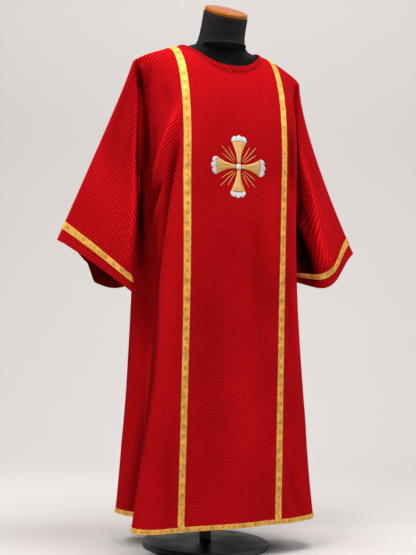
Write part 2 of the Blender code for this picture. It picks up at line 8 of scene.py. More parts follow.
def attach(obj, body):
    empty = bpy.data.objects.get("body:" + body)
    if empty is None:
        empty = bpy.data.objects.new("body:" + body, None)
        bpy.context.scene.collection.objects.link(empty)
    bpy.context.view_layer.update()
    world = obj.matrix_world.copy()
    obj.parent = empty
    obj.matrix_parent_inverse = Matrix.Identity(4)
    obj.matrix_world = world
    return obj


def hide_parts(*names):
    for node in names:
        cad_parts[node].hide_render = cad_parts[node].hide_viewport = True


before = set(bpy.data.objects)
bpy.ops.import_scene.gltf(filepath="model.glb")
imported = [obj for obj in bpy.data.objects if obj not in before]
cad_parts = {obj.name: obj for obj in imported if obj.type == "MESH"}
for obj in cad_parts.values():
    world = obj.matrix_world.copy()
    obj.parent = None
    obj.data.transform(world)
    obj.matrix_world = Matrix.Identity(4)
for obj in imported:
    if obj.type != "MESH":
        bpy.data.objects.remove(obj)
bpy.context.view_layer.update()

# The garment's cut and hang, in metres. Front towards -Y, wearer's left towards +X.
garment = {
    "wall": 0.0020,
    "gap": 0.0003,   # left between two pieces at a seam
    "hemHeight": 0.084,
    "armpitHeight": 1.000,
    "neckSideHeight": 1.339,
    "shoulderSlope": 0.340,
    "shoulderRound": 0.080,
    "shoulderDrop": 0.011,   # how far its end rounds off, and where that is reached
    "shoulderDropAt": 0.250,
    "shoulderEnd": {"right": 0.250, "left": 0.262},
    "seamAngle": {"right": 101.0, "left": 95.0},   # side seams, in degrees round from the front
    "frontSwing": (-0.032, -0.016),   # where the front's centre line hangs, at hem and armpit
    "neckWidth": 0.122,
    "neckFront": 0.1015,
    "neckBack": 0.072,
    "neckSquare": 2.25,
    "armholeOpen": 0.021,   # how far the armhole's edges stand apart from the straight panel
    "armholeRound": 0.5,
    "armholeFrom": 0.45,
    "clavusMiddle": 0.147,
    "clavusWidth": 0.0190,
}
armpit, hemline = garment["armpitHeight"], garment["hemHeight"]
seam = {
    "dip": 0.0011,         # how far a sewn seam sits below the cloth beside it
    "dipWidth": 0.0035,
    "pucker": 0.0007,
    "puckerFrom": 0.006,
    "puckerTo": 0.016,
    "puckerPitch": (0.021, 0.0347),
    "phase": {"front": 0.7, "back": 2.1, "shoulder": 1.3, "middle": 2.7, "armhole": 0.4, "underarm": 1.9},
    "shoulderShare": 0.35,
    "middleShare": 0.7,
    "fade": {"side": 0.020, "top": 0.024},   # creases die out this close to a seam
    "recess": {"front": 0.0070, "back": 0.0050},   # how far the armhole sinks between body and sleeve
    "recessWidth": 0.012,
    "recessEnds": (0.045, 0.050),   # it dies out towards the armpit and the shoulder
}
# height, half width right and left, depth front and back, squareness
bodySections = [
    (0.084, 0.232, 0.240, 0.190, 0.190, 3.2),
    (0.420, 0.214, 0.228, 0.172, 0.174, 3.4),
    (0.760, 0.204, 0.214, 0.157, 0.159, 3.7),
    (1.000, 0.203, 0.216, 0.150, 0.147, 3.6),
]
# Folds that grow towards the hem: angle round the body, how far it wanders higher up and spread (degrees),
# depth at the hem, height where it dies out (metres), and the power it grows with.
standingFolds = [
    (-61.0, 11.0, 14.0, 0.088, 1.080, 0.85),
    (-95.0, 4.0, 19.0, -0.056, 1.080, 0.6),
    (-138.0, 0.0, 15.0, 0.014, 0.800, 1.0),
    (-161.0, 0.0, 10.0, -0.018, 0.900, 1.1),
    (-180.0, 0.0, 10.0, 0.010, 0.800, 1.0),
    (180.0, 0.0, 10.0, 0.010, 0.800, 1.0),
    (158.0, 0.0, 11.0, -0.020, 0.860, 1.0),
    (136.0, 0.0, 14.0, 0.018, 0.780, 1.0),
    (103.0, 0.0, 15.0, -0.040, 0.900, 0.9),
    (70.0, 0.0, 19.0, 0.047, 0.900, 1.7),
    (24.0, 0.0, 11.0, -0.008, 0.780, 1.0),
]
# Creases, listed one by one. On a panel: metres across from the centre line and up from the armpit. On a
# sleeve:
# metres round from the top line and along from the armhole. Columns: start, control and end of the line,
# width at start and end, depth (negative for a trough), lean, strength at start and end.
creases = {
    "front": [
        (-0.156, 0.190, -0.203, 0.046, -0.346, -0.092, 0.0085, 0.0150, 0.0130, 0.1, 0.25, 0.2),
        (-0.162, 0.110, -0.220, -0.065, -0.272, -0.330, 0.0100, 0.0150, -0.0230, 0.0, 0.1, 0.3),
        (-0.225, -0.030, -0.317, -0.063, -0.362, -0.165, 0.0080, 0.013, -0.0140, 0.0, 0.1, 0.1),
        (-0.215, -0.060, -0.309, -0.109, -0.368, -0.240, 0.0100, 0.017, 0.0080, 0.0, 0.0, 0.0),
        (-0.276, 0.240, -0.352, 0.077, -0.362, -0.220, 0.0080, 0.012, -0.0035, 0.0, 0.3, 0.2),
        (-0.230, 0.268, -0.270, 0.235, -0.306, 0.145, 0.0085, 0.012, -0.0075, 0.0, 0.3, 0.1),
        (-0.248, 0.280, -0.290, 0.250, -0.322, 0.170, 0.0070, 0.010, 0.0060, 0.0, 0.3, 0.1),
        (-0.206, 0.228, -0.204, 0.195, -0.196, 0.158, 0.0120, 0.012, -0.0035, 0.0, 0.0, 0.0),
        (-0.184, 0.196, -0.196, 0.160, -0.214, 0.118, 0.0060, 0.010, -0.0030, 0.0, 0.0, 0.0),
        (-0.262, 0.150, -0.290, 0.060, -0.318, -0.010, 0.0140, 0.022, -0.0035, 0.0, 0.0, 0.0),
        (0.166, 0.175, 0.176, 0.070, 0.168, -0.070, 0.008, 0.014, -0.0040, 0.0, 0.0, 0.0),
        (0.205, 0.150, 0.225, 0.060, 0.222, -0.120, 0.012, 0.022, -0.0045, 0.0, 0.1, 0.0),
        (0.186, 0.090, 0.196, -0.040, 0.190, -0.200, 0.012, 0.018, 0.0035, 0.0, 0.0, 0.0),
        (0.190, -0.270, 0.206, -0.400, 0.232, -0.560, 0.010, 0.018, 0.0055, 0.2, 0.0, 0.0),
        (0.168, -0.230, 0.178, -0.380, 0.196, -0.540, 0.009, 0.014, -0.0040, 0.0, 0.0, 0.0),
        (0.094, 0.020, 0.104, -0.130, 0.112, -0.330, 0.020, 0.034, 0.0040, 0.0, 0.0, 0.0),
        (0.060, -0.060, 0.072, -0.300, 0.104, -0.520, 0.022, 0.036, -0.0045, 0.0, 0.0, 0.0),
        (-0.070, -0.250, -0.052, -0.500, -0.060, -0.800, 0.040, 0.050, -0.0030, 0.0, 0.0, 0.4),
        (0.020, -0.330, 0.040, -0.600, 0.030, -0.900, 0.034, 0.050, 0.0030, 0.0, 0.0, 0.5),
        (-0.185, -0.700, -0.192, -0.800, -0.176, -0.905, 0.010, 0.016, -0.0040, 0.0, 0.0, 0.6),
        (0.176, -0.740, 0.196, -0.850, 0.240, -0.905, 0.012, 0.020, -0.0050, 0.0, 0.0, 0.7),
        (0.290, -0.640, 0.300, -0.780, 0.320, -0.905, 0.014, 0.024, -0.0040, 0.0, 0.0, 0.6),
        (-0.290, -0.420, -0.330, -0.620, -0.350, -0.880, 0.012, 0.020, -0.0045, 0.0, 0.0, 0.5),
    ],
    "back": [
        (-0.172, 0.170, -0.235, 0.050, -0.318, -0.050, 0.014, 0.022, 0.0080, 0.0, 0.1, 0.1),
        (-0.190, 0.215, -0.262, 0.115, -0.322, 0.020, 0.016, 0.024, -0.0070, 0.0, 0.0, 0.2),
        (-0.160, 0.110, -0.205, 0.000, -0.285, -0.130, 0.014, 0.022, -0.0070, 0.0, 0.0, 0.0),
        (0.176, 0.150, 0.225, 0.055, 0.300, -0.040, 0.014, 0.020, 0.0070, 0.0, 0.1, 0.1),
        (0.190, 0.190, 0.250, 0.110, 0.306, 0.030, 0.015, 0.022, -0.0060, 0.0, 0.0, 0.2),
        (0.164, 0.090, 0.198, -0.010, 0.262, -0.120, 0.013, 0.020, -0.0065, 0.0, 0.0, 0.0),
        (-0.240, 0.255, -0.272, 0.200, -0.290, 0.130, 0.010, 0.016, -0.0050, 0.0, 0.1, 0.0),
        (0.236, 0.250, 0.262, 0.205, 0.280, 0.150, 0.010, 0.014, -0.0045, 0.0, 0.1, 0.0),
        (-0.030, 0.190, -0.020, 0.020, -0.036, -0.180, 0.022, 0.034, -0.0035, 0.0, 0.0, 0.0),
        (0.060, 0.120, 0.052, -0.080, 0.068, -0.260, 0.024, 0.036, 0.0035, 0.0, 0.0, 0.0),
        (-0.100, 0.020, -0.088, -0.200, -0.110, -0.420, 0.022, 0.034, 0.0040, 0.0, 0.0, 0.0),
        (0.112, -0.120, 0.120, -0.380, 0.098, -0.640, 0.020, 0.036, -0.0045, 0.0, 0.0, 0.0),
        (-0.210, -0.260, -0.226, -0.480, -0.214, -0.760, 0.016, 0.028, -0.0050, 0.0, 0.0, 0.0),
        (0.214, -0.330, 0.226, -0.560, 0.212, -0.860, 0.016, 0.028, 0.0045, 0.0, 0.0, 0.3),
        (-0.050, -0.420, -0.040, -0.640, -0.060, -0.900, 0.026, 0.042, 0.0040, 0.0, 0.0, 0.5),
        (0.030, -0.520, 0.024, -0.720, 0.038, -0.900, 0.020, 0.036, -0.0040, 0.0, 0.0, 0.6),
        (-0.300, -0.560, -0.316, -0.720, -0.300, -0.900, 0.014, 0.022, -0.0045, 0.0, 0.0, 0.6),
    ],
    "right": [
        (0.045, 0.022, 0.192, 0.120, 0.190, 0.400, 0.009, 0.012, 0.0055, 0.0, 0.3, 0.3),
        (0.078, 0.004, 0.240, 0.092, 0.234, 0.390, 0.012, 0.018, -0.0150, 0.0, 0.4, 0.3),
        (0.040, 0.060, 0.060, 0.180, 0.045, 0.330, 0.016, 0.030, 0.0030, 0.0, 0.0, 0.0),
        (0.100, 0.040, 0.130, 0.170, 0.110, 0.330, 0.018, 0.034, -0.0035, 0.0, 0.0, 0.0),
        (0.170, 0.080, 0.190, 0.200, 0.200, 0.380, 0.018, 0.032, 0.0035, 0.0, 0.0, 0.2),
        (-0.050, 0.070, -0.070, 0.200, -0.060, 0.360, 0.016, 0.030, -0.0035, 0.0, 0.0, 0.0),
        (-0.120, 0.050, -0.150, 0.190, -0.140, 0.380, 0.018, 0.034, 0.0045, 0.0, 0.0, 0.1),
        (-0.200, 0.100, -0.220, 0.240, -0.230, 0.400, 0.018, 0.030, -0.0045, 0.0, 0.0, 0.3),
    ],
    "left": [
        (0.190, 0.020, 0.215, 0.180, 0.215, 0.330, 0.010, 0.018, -0.0050, 0.0, 0.1, 0.0),
        (0.135, 0.030, 0.150, 0.190, 0.165, 0.340, 0.014, 0.026, 0.0045, 0.0, 0.1, 0.0),
        (0.070, 0.060, 0.085, 0.200, 0.070, 0.380, 0.016, 0.030, -0.0030, 0.0, 0.0, 0.0),
        (0.255, 0.110, 0.262, 0.240, 0.252, 0.400, 0.018, 0.026, -0.0160, 0.0, 0.1, 0.2),
        (0.080, 0.110, 0.190, 0.190, 0.204, 0.360, 0.009, 0.014, 0.0045, 0.0, 0.1, 0.2),
        (0.225, 0.300, 0.200, 0.360, 0.150, 0.410, 0.010, 0.018, 0.0040, 0.0, 0.0, 0.2),
        (-0.060, 0.060, -0.080, 0.200, -0.070, 0.360, 0.016, 0.030, -0.0035, 0.0, 0.0, 0.0),
        (-0.130, 0.040, -0.160, 0.180, -0.150, 0.370, 0.018, 0.034, 0.0045, 0.0, 0.0, 0.1),
    ],
}

# The same columns for painted shade on cloth in the lee of another piece, and for painted highlight on cloth
# that catches the light; they change only the colour, through the fold attribute.
paintedLightAndShade = {
    "front": [
        (-0.262, 0.270, -0.280, 0.235, -0.296, 0.200, 0.0050, 0.0050, -0.040, 0.0, 0.6, 0.2),
        (-0.300, 0.170, -0.322, 0.080, -0.330, 0.000, 0.0120, 0.0140, 0.008, 0.0, 0.1, 0.9),
        (-0.330, 0.000, -0.338, -0.120, -0.352, -0.280, 0.0140, 0.0180, 0.009, 0.0, 0.9, 0.1),
        (0.186, 0.170, 0.176, 0.050, 0.190, -0.070, 0.0120, 0.0140, -0.011, 0.0, 0.1, 0.1),
        (-0.170, 0.064, -0.208, -0.060, -0.246, -0.220, 0.0080, 0.0120, -0.013, 0.0, 0.2, 0.6),
        (-0.252, -0.300, -0.219, -0.525, -0.318, -0.870, 0.0450, 0.0500, -0.024, -0.65, 0.6, 0.6),
    ],
    "back": [
        (-0.242, 0.020, -0.246, -0.100, -0.259, -0.280, 0.0100, 0.0130, -0.055, 0.0, 0.8, 0.1),
        (-0.268, 0.010, -0.272, -0.100, -0.286, -0.270, 0.0060, 0.0080, 0.010, 0.0, 0.6, 0.1),
        (-0.345, -0.440, -0.318, -0.660, -0.314, -0.900, 0.0200, 0.0240, -0.016, 0.0, 0.3, 0.6),
    ],
    "right": [
        (0.060, 0.006, 0.1425, 0.0445, 0.215, 0.125, 0.0070, 0.0120, -0.058, 0.0, 0.5, 0.9),
        (0.090, 0.006, 0.155, 0.016, 0.240, 0.012, 0.0090, 0.0110, 0.012, 0.0, 0.3, 0.2),
        (0.020, 0.010, 0.060, 0.130, 0.050, 0.330, 0.0280, 0.0380, -0.0065, 0.0, 0.6, 0.1),
        (0.004, 0.030, 0.026, 0.110, 0.040, 0.220, 0.0180, 0.0260, -0.0065, 0.0, 0.3, 0.7),
    ],
    "left": [
        (0.060, 0.020, 0.163, 0.080, 0.224, 0.150, 0.0050, 0.0100, -0.055, 0.0, 0.3, 0.9),
        (0.092, 0.050, 0.126, 0.130, 0.176, 0.225, 0.0150, 0.0140, 0.019, 0.0, 0.3, 0.3),
        (0.254, 0.160, 0.276, 0.235, 0.254, 0.335, 0.0150, 0.0290, -0.110, 0.0, 0.7, 0.25),
        (0.172, 0.205, 0.196, 0.270, 0.184, 0.335, 0.0110, 0.0130, 0.014, 0.0, 0.5, 0.4),
    ],
}


def smoothStep(value):
    value = np.clip(value, 0.0, 1.0)
    return value * value * (3.0 - 2.0 * value)


def unit(vectors):
    return vectors / np.maximum(np.linalg.norm(vectors, axis=-1, keepdims=True), 1e-12)


def runAlong(grid, axis):   # length of cloth from the first row or column of a grid of points
    steps = np.linalg.norm(np.diff(grid, axis=axis), axis=2)
    start = np.zeros_like(np.take(steps, [0], axis=axis))
    return np.concatenate([start, np.cumsum(steps, axis=axis)], axis=axis)


def rowsAt(rows, key):   # all columns of a table on one smooth curve through its rows
    table = np.array(rows)
    degree = len(rows) - 1
    return [np.polyval(np.polyfit(table[:, 0], table[:, column], degree), key)
            for column in range(1, table.shape[1])]


def shoulderHeight(x):   # height of the shoulder line
    run = np.hypot(x, garment["shoulderRound"]) - math.hypot(garment["neckWidth"], garment["shoulderRound"])
    drop = garment["shoulderDrop"] * (np.abs(x) / garment["shoulderDropAt"]) ** 8
    return garment["neckSideHeight"] - garment["shoulderSlope"] * run - drop


def bodyOutline(height, angles):   # the skirt's section, with the folds that stand out from it
    right, left, front, back, square = rowsAt(bodySections, height)
    across, along = np.sin(angles), np.cos(angles)
    half = np.where(across < 0, right, left)
    depth = np.where(along > 0, front, back)
    radius = ((abs(across) / half) ** square + (abs(along) / depth) ** square) ** (-1 / square)
    degrees = (np.degrees(angles) + 180.0) % 360.0 - 180.0
    for angle, turn, spread, out, top, power in standingFolds:
        leftOver = max(0.0, (top - height) / (top - hemline))
        away = abs(degrees - angle - turn * (1.0 - leftOver))
        away = np.minimum(away, 360.0 - away)
        share = 0.5 if abs(angle) == 180.0 else 1.0
        radius = radius + share * out * leftOver ** power * np.exp(-(away / spread) ** 2)
    return radius * across, -radius * along


def placeColumns(columns, rightHalf, leftHalf):   # metres out to the clavus, then shares to the seam
    edge = garment["clavusMiddle"] + garment["clavusWidth"] / 2
    columns = np.asarray(columns, float)
    half = np.where(columns > 0, leftHalf, rightHalf)
    share = (abs(columns) - edge) / (1.0 - edge)
    outside = np.sign(columns) * (edge + share * (half - edge))
    return np.where(abs(columns) <= edge, columns, outside)


def faceSection(face, height, columns):   # places across a face at one height, and its half widths
    start = -garment["seamAngle"]["right"] if face == "front" else 360.0 - garment["seamAngle"]["right"]
    angles = np.radians(np.linspace(start, garment["seamAngle"]["left"], 481))
    x, y = bodyOutline(height, angles)
    run = np.concatenate([[0.0], np.cumsum(np.hypot(np.diff(x), np.diff(y)))])
    share = (height - hemline) / (armpit - hemline)
    low, high = garment["frontSwing"]
    middle = low + (high - low) * share if face == "front" else 0.0
    run = run - np.interp(middle, x, run)
    placed = placeColumns(columns, -run[0], run[-1])
    return np.interp(placed, run, x), np.interp(placed, run, y), placed, (-run[0], run[-1])


def shoulderEnds(columns):   # where each column ends on the shoulder line
    return placeColumns(columns, garment["shoulderEnd"]["right"], garment["shoulderEnd"]["left"])


def facePoints(face, columns, level):   # level: metres below the armpit, or radians above it
    if np.max(level) <= 0.0:
        height = armpit + float(np.max(level))
        x, y = faceSection(face, height, columns)[:2]
        return np.stack([x, y, np.full(len(x), height)], axis=1)
    chestX, chestY = faceSection(face, armpit, columns)[:2]
    tops = shoulderEnds(columns)
    sign = -1.0 if face == "front" else 1.0
    begins = garment["armholeFrom"]
    edgeWeight = np.clip((abs(np.asarray(columns)) - begins) / (1.0 - begins), 0.0, 1.0) ** 2
    x = chestX + (tops - chestX) * np.sin(level) ** 2
    double = np.sin(2 * np.array(level))
    opening = garment["armholeOpen"] * np.sign(double) * abs(double) ** garment["armholeRound"]
    y = chestY * np.cos(level) + sign * opening * edgeWeight
    z = armpit + (shoulderHeight(tops) - armpit) * np.sin(level)
    return np.stack([x, y, z], axis=1)


def faceNormals(face, columns, level):
    columns = np.asarray(columns, float)
    step = 1e-3
    across = facePoints(face, columns + step, level) - facePoints(face, columns - step, level)
    along = facePoints(face, columns, level + step) - facePoints(face, columns, level - step)
    return (1.0 if face == "front" else -1.0) * unit(np.cross(across, along))


def neckTurns(face, columns, inset=0.0):   # where each column ends, on the neck hole or the shoulder
    columns = np.asarray(columns, float)
    tops = shoulderEnds(columns)
    depths = faceSection(face, armpit, columns)[1]
    reach = (garment["neckFront"] if face == "front" else garment["neckBack"]) - inset
    half = garment["neckWidth"] - inset
    square = garment["neckSquare"]
    edge = reach * np.maximum(0.0, 1.0 - abs(tops / half) ** square) ** (1 / square)
    turns = np.arccos(np.clip(edge / abs(depths), 0.0, 1.0))
    return np.where(abs(columns) < half - 1e-6, turns, math.pi / 2)


def panelPatch(face, columns, levels):   # places and directions of a grid on the panel's middle surface
    points = np.array([facePoints(face, columns, level) for level in levels])
    return points, np.array([faceNormals(face, columns, level) for level in levels])


def climbTable(face, columns):   # length of cloth above the armpit at each turn
    turns = np.linspace(0.0, math.pi / 2, 96)
    path = [facePoints(face, columns, np.full(len(columns), max(turn, 1e-6))) for turn in turns]
    return turns, runAlong(np.array(path), 0)


def cutPlaces(face, columns, levels):
    # across and up on the cut, and the distances to the side and to the top edge
    ends = neckTurns(face, columns)
    turns, climbs = climbTable(face, columns)
    count = len(columns)
    topUp = np.array([np.interp(ends[k], turns, climbs[:, k]) for k in range(count)])
    chest = faceSection(face, armpit, columns)
    tops = shoulderEnds(columns)
    acrossRows, upRows, sideRows, topRows = [], [], [], []
    for level in levels:
        if np.max(level) <= 0.0:
            placed, halves = faceSection(face, armpit + float(np.max(level)), columns)[2:]
            up = np.full(count, float(np.max(level)))
            widths = np.where(placed > 0, halves[1], halves[0])
        else:
            sink = np.sin(level) ** 2
            placed = chest[2] + (tops - chest[2]) * sink
            up = np.array([np.interp(level[k], turns, climbs[:, k]) for k in range(count)])
            atChest = np.where(placed > 0, chest[3][1], chest[3][0])
            atTop = np.where(placed > 0, garment["shoulderEnd"]["left"], garment["shoulderEnd"]["right"])
            widths = atChest + (atTop - atChest) * sink
        acrossRows.append(placed)
        upRows.append(up)
        sideRows.append(np.maximum(widths - abs(placed), 0.0))
        topRows.append(np.maximum(topUp - up, 0.0))
    return [np.array(rows) for rows in (acrossRows, upRows, sideRows, topRows)]


# steps along a line, reach in widths, and the shares of the line over which its ends grow and die
creaseShape = {"steps": 19, "reach": 3.0, "grow": 0.35, "die": 0.45}


def creaseHeight(rows, across, up):   # lift from curved creases, each a soft ridge along its line
    total = np.zeros(across.shape)
    flat = np.stack([across.ravel(), up.ravel()], axis=1)
    for x0, y0, x1, y1, x2, y2, wide0, wide1, depth, lean, begin, finish in rows:
        t = np.linspace(0.0, 1.0, creaseShape["steps"])[:, None]
        line = ((1 - t) ** 2 * np.array([x0, y0]) + 2 * t * (1 - t) * np.array([x1, y1])
                + t * t * np.array([x2, y2]))
        reach = creaseShape["reach"] * max(wide0, wide1)
        near = np.all((flat > line.min(0) - reach) & (flat < line.max(0) + reach), axis=1)
        if not near.any():
            continue
        spot = flat[near][:, None, :] - line[None, :-1, :]
        step = np.diff(line, axis=0)
        share = np.clip(np.sum(spot * step, axis=2) / np.sum(step * step, axis=1), 0.0, 1.0)
        miss = spot - share[..., None] * step
        distance = np.linalg.norm(miss, axis=2)
        best = np.argmin(distance, axis=1)
        pick = np.arange(len(best))
        along = (best + share[pick, best]) / len(step)
        side = np.sign(step[best, 0] * miss[pick, best, 1] - step[best, 1] * miss[pick, best, 0])
        wide = (wide0 + (wide1 - wide0) * along) * (1.0 + lean * side)
        grown = begin + (1 - begin) * smoothStep(along / creaseShape["grow"])
        left = finish + (1 - finish) * smoothStep((1 - along) / creaseShape["die"])
        lift = np.zeros(len(flat))
        lift[near] = depth * grown * left * np.exp(-(distance[pick, best] / wide) ** 2)
        total += lift.reshape(across.shape)
    return total


def seamHeight(distance, along, phase):   # the sunk seam and the small puckers beside it
    short, long = seam["puckerPitch"]
    beside = smoothStep(distance / seam["puckerFrom"]) * np.exp(-(distance / seam["puckerTo"]) ** 2)
    turns = 2 * math.pi * along
    ripple = np.sin(turns / short + phase) + 0.6 * np.sin(turns / long + 2 * phase)
    return -seam["dip"] * np.exp(-(distance / seam["dipWidth"]) ** 2) + seam["pucker"] * beside * ripple


def panelLift(face, columns, levels):   # how far the cloth stands off its middle surface
    across, up, toSide, toTop = cutPlaces(face, columns, levels)
    fade = smoothStep(toSide / seam["fade"]["side"]) * smoothStep(toTop / seam["fade"]["top"])
    lift = creaseHeight(creases[face], across, up) * fade
    lift += seamHeight(toSide, up, seam["phase"][face])
    low, top = seam["recessEnds"]
    window = smoothStep(up / low) * smoothStep(toTop / top)
    lift -= seam["recess"][face] * window * np.exp(-(toSide / seam["recessWidth"]) ** 2)
    onShoulder = abs(np.asarray(columns))[None, :] > garment["neckWidth"]
    shoulder = seam["shoulderShare"] * seamHeight(toTop, across, seam["phase"]["shoulder"])
    lift += np.where(onShoulder, shoulder, 0.0)
    if face == "back":
        lift += seam["middleShare"] * seamHeight(abs(across), up, seam["phase"]["middle"])
    # fold: the lift plus the painted light and shade lines, for the colour
    fold = lift + creaseHeight(paintedLightAndShade[face], across, up)
    return across, up, lift, fold


def fineColumns(neckCount, clavusCount, sideCount):   # columns of a panel's grid, seam to seam
    inner = garment["clavusMiddle"] - garment["clavusWidth"] / 2
    outer = garment["clavusMiddle"] + garment["clavusWidth"] / 2
    half = garment["neckWidth"]
    neck = [half * math.sin(math.pi * (k / neckCount - 0.5)) for k in range(neckCount + 1)]
    neck = sorted(neck + [sign * place for place in panelGrid["backSeam"] for sign in (-1, 1)])
    beside = [(half + inner) / 2]
    under = [inner + (outer - inner) * k / clavusCount for k in range(clavusCount + 1)]
    sides = [outer + (1.0 - outer) * k / sideCount for k in range(1, sideCount + 1)]
    right = [-place for place in reversed(beside + under + sides)]
    return np.array(right + neck + beside + under + sides)


def gridNormals(grid, loops=False):
    if loops:
        padded = np.concatenate([grid[:, -1:], grid, grid[:, :1]], axis=1)
        across = padded[:, 2:] - padded[:, :-2]
    else:
        across = np.gradient(grid, axis=1)
    return unit(np.cross(across, np.gradient(grid, axis=0)))


def shareNormals(*corners):   # one mitred direction for the pieces that meet at a seam point
    total = unit(sum(unit(normals[index]) * share for normals, index, share in corners))
    lean = min(float(np.dot(total, unit(normals[index]))) for normals, index, _ in corners)
    for normals, index, _ in corners:
        normals[index] = total / max(0.50, lean)


def squareTo(edge, beside, loops):   # directions off an edge into the cloth, square to the edge
    line = unit(np.roll(edge, -1, axis=0) - np.roll(edge, 1, axis=0) if loops else np.gradient(edge, axis=0))
    toward = beside - edge
    return unit(toward - line * np.sum(toward * line, axis=1, keepdims=True))


def pullIn(grid, atRows, atColumns, loops=False):   # draws the edges in, for the gap at a seam
    pulled = grid.copy()
    if atRows:
        pulled[0] += atRows * squareTo(grid[0], grid[1], loops)
        pulled[-1] += atRows * squareTo(grid[-1], grid[-2], loops)
    if atColumns:
        pulled[:, 0] += atColumns * squareTo(grid[:, 0], grid[:, 1], False)
        pulled[:, -1] += atColumns * squareTo(grid[:, -1], grid[:, -2], False)
    return pulled


def insideOut(corners, faces):   # true when a closed piece's faces look inward
    first, second, third, last = (corners[np.array([face[k] for face in faces])] for k in (0, 1, 2, -1))
    return np.sum(np.cross(first, second) * third) + np.sum(np.cross(first, third) * last) < 0


def addMesh(name, points, faces, places, finishes, faceFinish=None, sharp=55.0, paintedShadeValues=None):
    corners = np.array(points)
    if insideOut(corners, faces):
        faces = [face[::-1] for face in faces]
        places = [place[::-1] for place in places] if places is not None else None
    mesh = bpy.data.meshes.new(name)
    mesh.from_pydata([tuple(p) for p in corners], [], faces)
    if places is not None:
        layer = mesh.uv_layers.new(name="cut")
        layer.data.foreach_set("uv", np.concatenate([np.array(place) for place in places]).ravel())
    # the fold attribute: painted light and shade at each point
    if paintedShadeValues is not None:
        layer = mesh.attributes.new("fold", "FLOAT", "POINT")
        layer.data.foreach_set("value", np.asarray(paintedShadeValues, float).ravel())
    for finish in finishes:
        mesh.materials.append(finish)
    if faceFinish is not None:
        mesh.polygons.foreach_set("material_index", np.array(faceFinish, dtype=np.int32))
    mesh.shade_smooth()
    mesh.set_sharp_from_angle(angle=math.radians(sharp))
    made = bpy.data.objects.new(name, mesh)
    bpy.context.scene.collection.objects.link(made)
    return made


def wallFaces(rows, columns, loops):   # outer and inner skin, and the edges between them
    spans = columns if loops else columns - 1
    faces, corners, finish = [], [], []

    def add(spots, skins, inside=0):
        faces.append(tuple((skin * rows + row) * columns + column % columns
                           for (row, column), skin in zip(spots, skins)))
        corners.append(spots)
        finish.append(inside)

    for row in range(rows - 1):
        for column in range(spans):
            spots = ((row, column), (row, column + 1), (row + 1, column + 1), (row + 1, column))
            add(spots, (1, 1, 1, 1))
            add(spots[::-1], (0, 0, 0, 0), 1)
    edges = [((row, k), (row, k + 1), row > 0) for row in (0, rows - 1) for k in range(spans)]
    if not loops:
        edges += [((k, column), (k + 1, column), column == 0)
                  for column in (0, columns - 1) for k in range(rows - 1)]
    for start, end, turned in edges:
        add((start, end, end, start), (1, 1, 0, 0) if turned else (0, 0, 1, 1))
    return faces, corners, finish


def clothWall(name, middle, normals, low, high, across, up, finishes, loops=False, turned=False,
              pull=(0.0, 0.0), fold=None):
    # closed wall between two skins; low and high are numbers or one value a point
    # turned: the pattern runs round a loop, so across and up change places on the cut
    # fold: painted light and shade for each point, which the material reads
    low = np.broadcast_to(np.asarray(low, float), middle.shape[:2])[..., None]
    high = np.broadcast_to(np.asarray(high, float), middle.shape[:2])[..., None]
    inner = pullIn(middle + normals * low, *pull, loops)
    outer = pullIn(middle + normals * high, *pull, loops)
    rows, columns = middle.shape[:2]
    faces, corners, finish = wallFaces(rows, columns, loops)
    if loops:
        wrap = 2 * across[:, -1:] - across[:, -2:-1]
        across = np.concatenate([across, wrap], axis=1)
        up = np.concatenate([up, up[:, :1]], axis=1)
    if turned:
        across, up = up, across
    places = [[(across[spot], up[spot]) for spot in corner] for corner in corners]
    points = np.concatenate([inner.reshape(-1, 3), outer.reshape(-1, 3)])
    second = len(finishes) > 1
    paintedShadeValues = None if fold is None else np.concatenate([fold, fold])
    return addMesh(name, points, faces, places, finishes, [f if second else 0 for f in finish], paintedShadeValues=paintedShadeValues)


def newMaterial(name, values):
    made = bpy.data.materials.new(name)
    made.use_nodes = True
    shader = made.node_tree.nodes["Principled BSDF"]
    for key, value in values.items():
        shader.inputs[key].default_value = value
    return made, made.node_tree, shader


def addNode(tree, kind, inputs=None, **settings):
    node = tree.nodes.new(kind)
    for key, value in settings.items():
        setattr(node, key, value)
    for key, value in (inputs or {}).items():
        if isinstance(value, bpy.types.NodeSocket):
            tree.links.new(value, node.inputs[key])
        else:
            node.inputs[key].default_value = value
    return node


def reckon(tree, operation, *values):
    node = addNode(tree, "ShaderNodeMath", dict(enumerate(values)), operation=operation)
    return node.outputs[0]


def soften(tree, value, low, high, toLow=0.0, toHigh=1.0):
    node = addNode(tree, "ShaderNodeMapRange", {"Value": value, "From Min": low, "From Max": high,
                                                "To Min": toLow, "To Max": toHigh},
                   interpolation_type="SMOOTHSTEP")
    return node.outputs["Result"]


def blendColor(tree, factor, first, second):
    node = addNode(tree, "ShaderNodeMix", data_type="RGBA")
    for socket, value in ((node.inputs[0], factor), (node.inputs[6], first), (node.inputs[7], second)):
        if isinstance(value, bpy.types.NodeSocket):
            tree.links.new(value, socket)
        else:
            socket.default_value = value
    return node.outputs[2]


def mixNumber(tree, factor, first, second):
    return addNode(tree, "ShaderNodeMix", {0: factor, 2: first, 3: second}, data_type="FLOAT").outputs[0]


def noise(tree, place, scale, detail, **others):
    inputs = {"Vector": place, "Scale": scale, "Detail": detail, **others}
    return addNode(tree, "ShaderNodeTexNoise", inputs).outputs["Fac"]


def toned(color, share):
    return tuple(part * share for part in color[:3]) + (1.0,)


def onPiece(tree):   # metres on the piece itself
    return addNode(tree, "ShaderNodeTexCoord").outputs["Object"]


def cutAxes(tree):   # metres across and up on the piece's own cut
    place = addNode(tree, "ShaderNodeUVMap", uv_map="cut")
    split = addNode(tree, "ShaderNodeSeparateXYZ", {"Vector": place.outputs["UV"]})
    return place.outputs["UV"], split.outputs["X"], split.outputs["Y"]


def wave(tree, value, repeat, phase=0.0):
    turned = reckon(tree, "MULTIPLY_ADD", value, 2 * math.pi / repeat, phase)
    return reckon(tree, "SINE", turned)


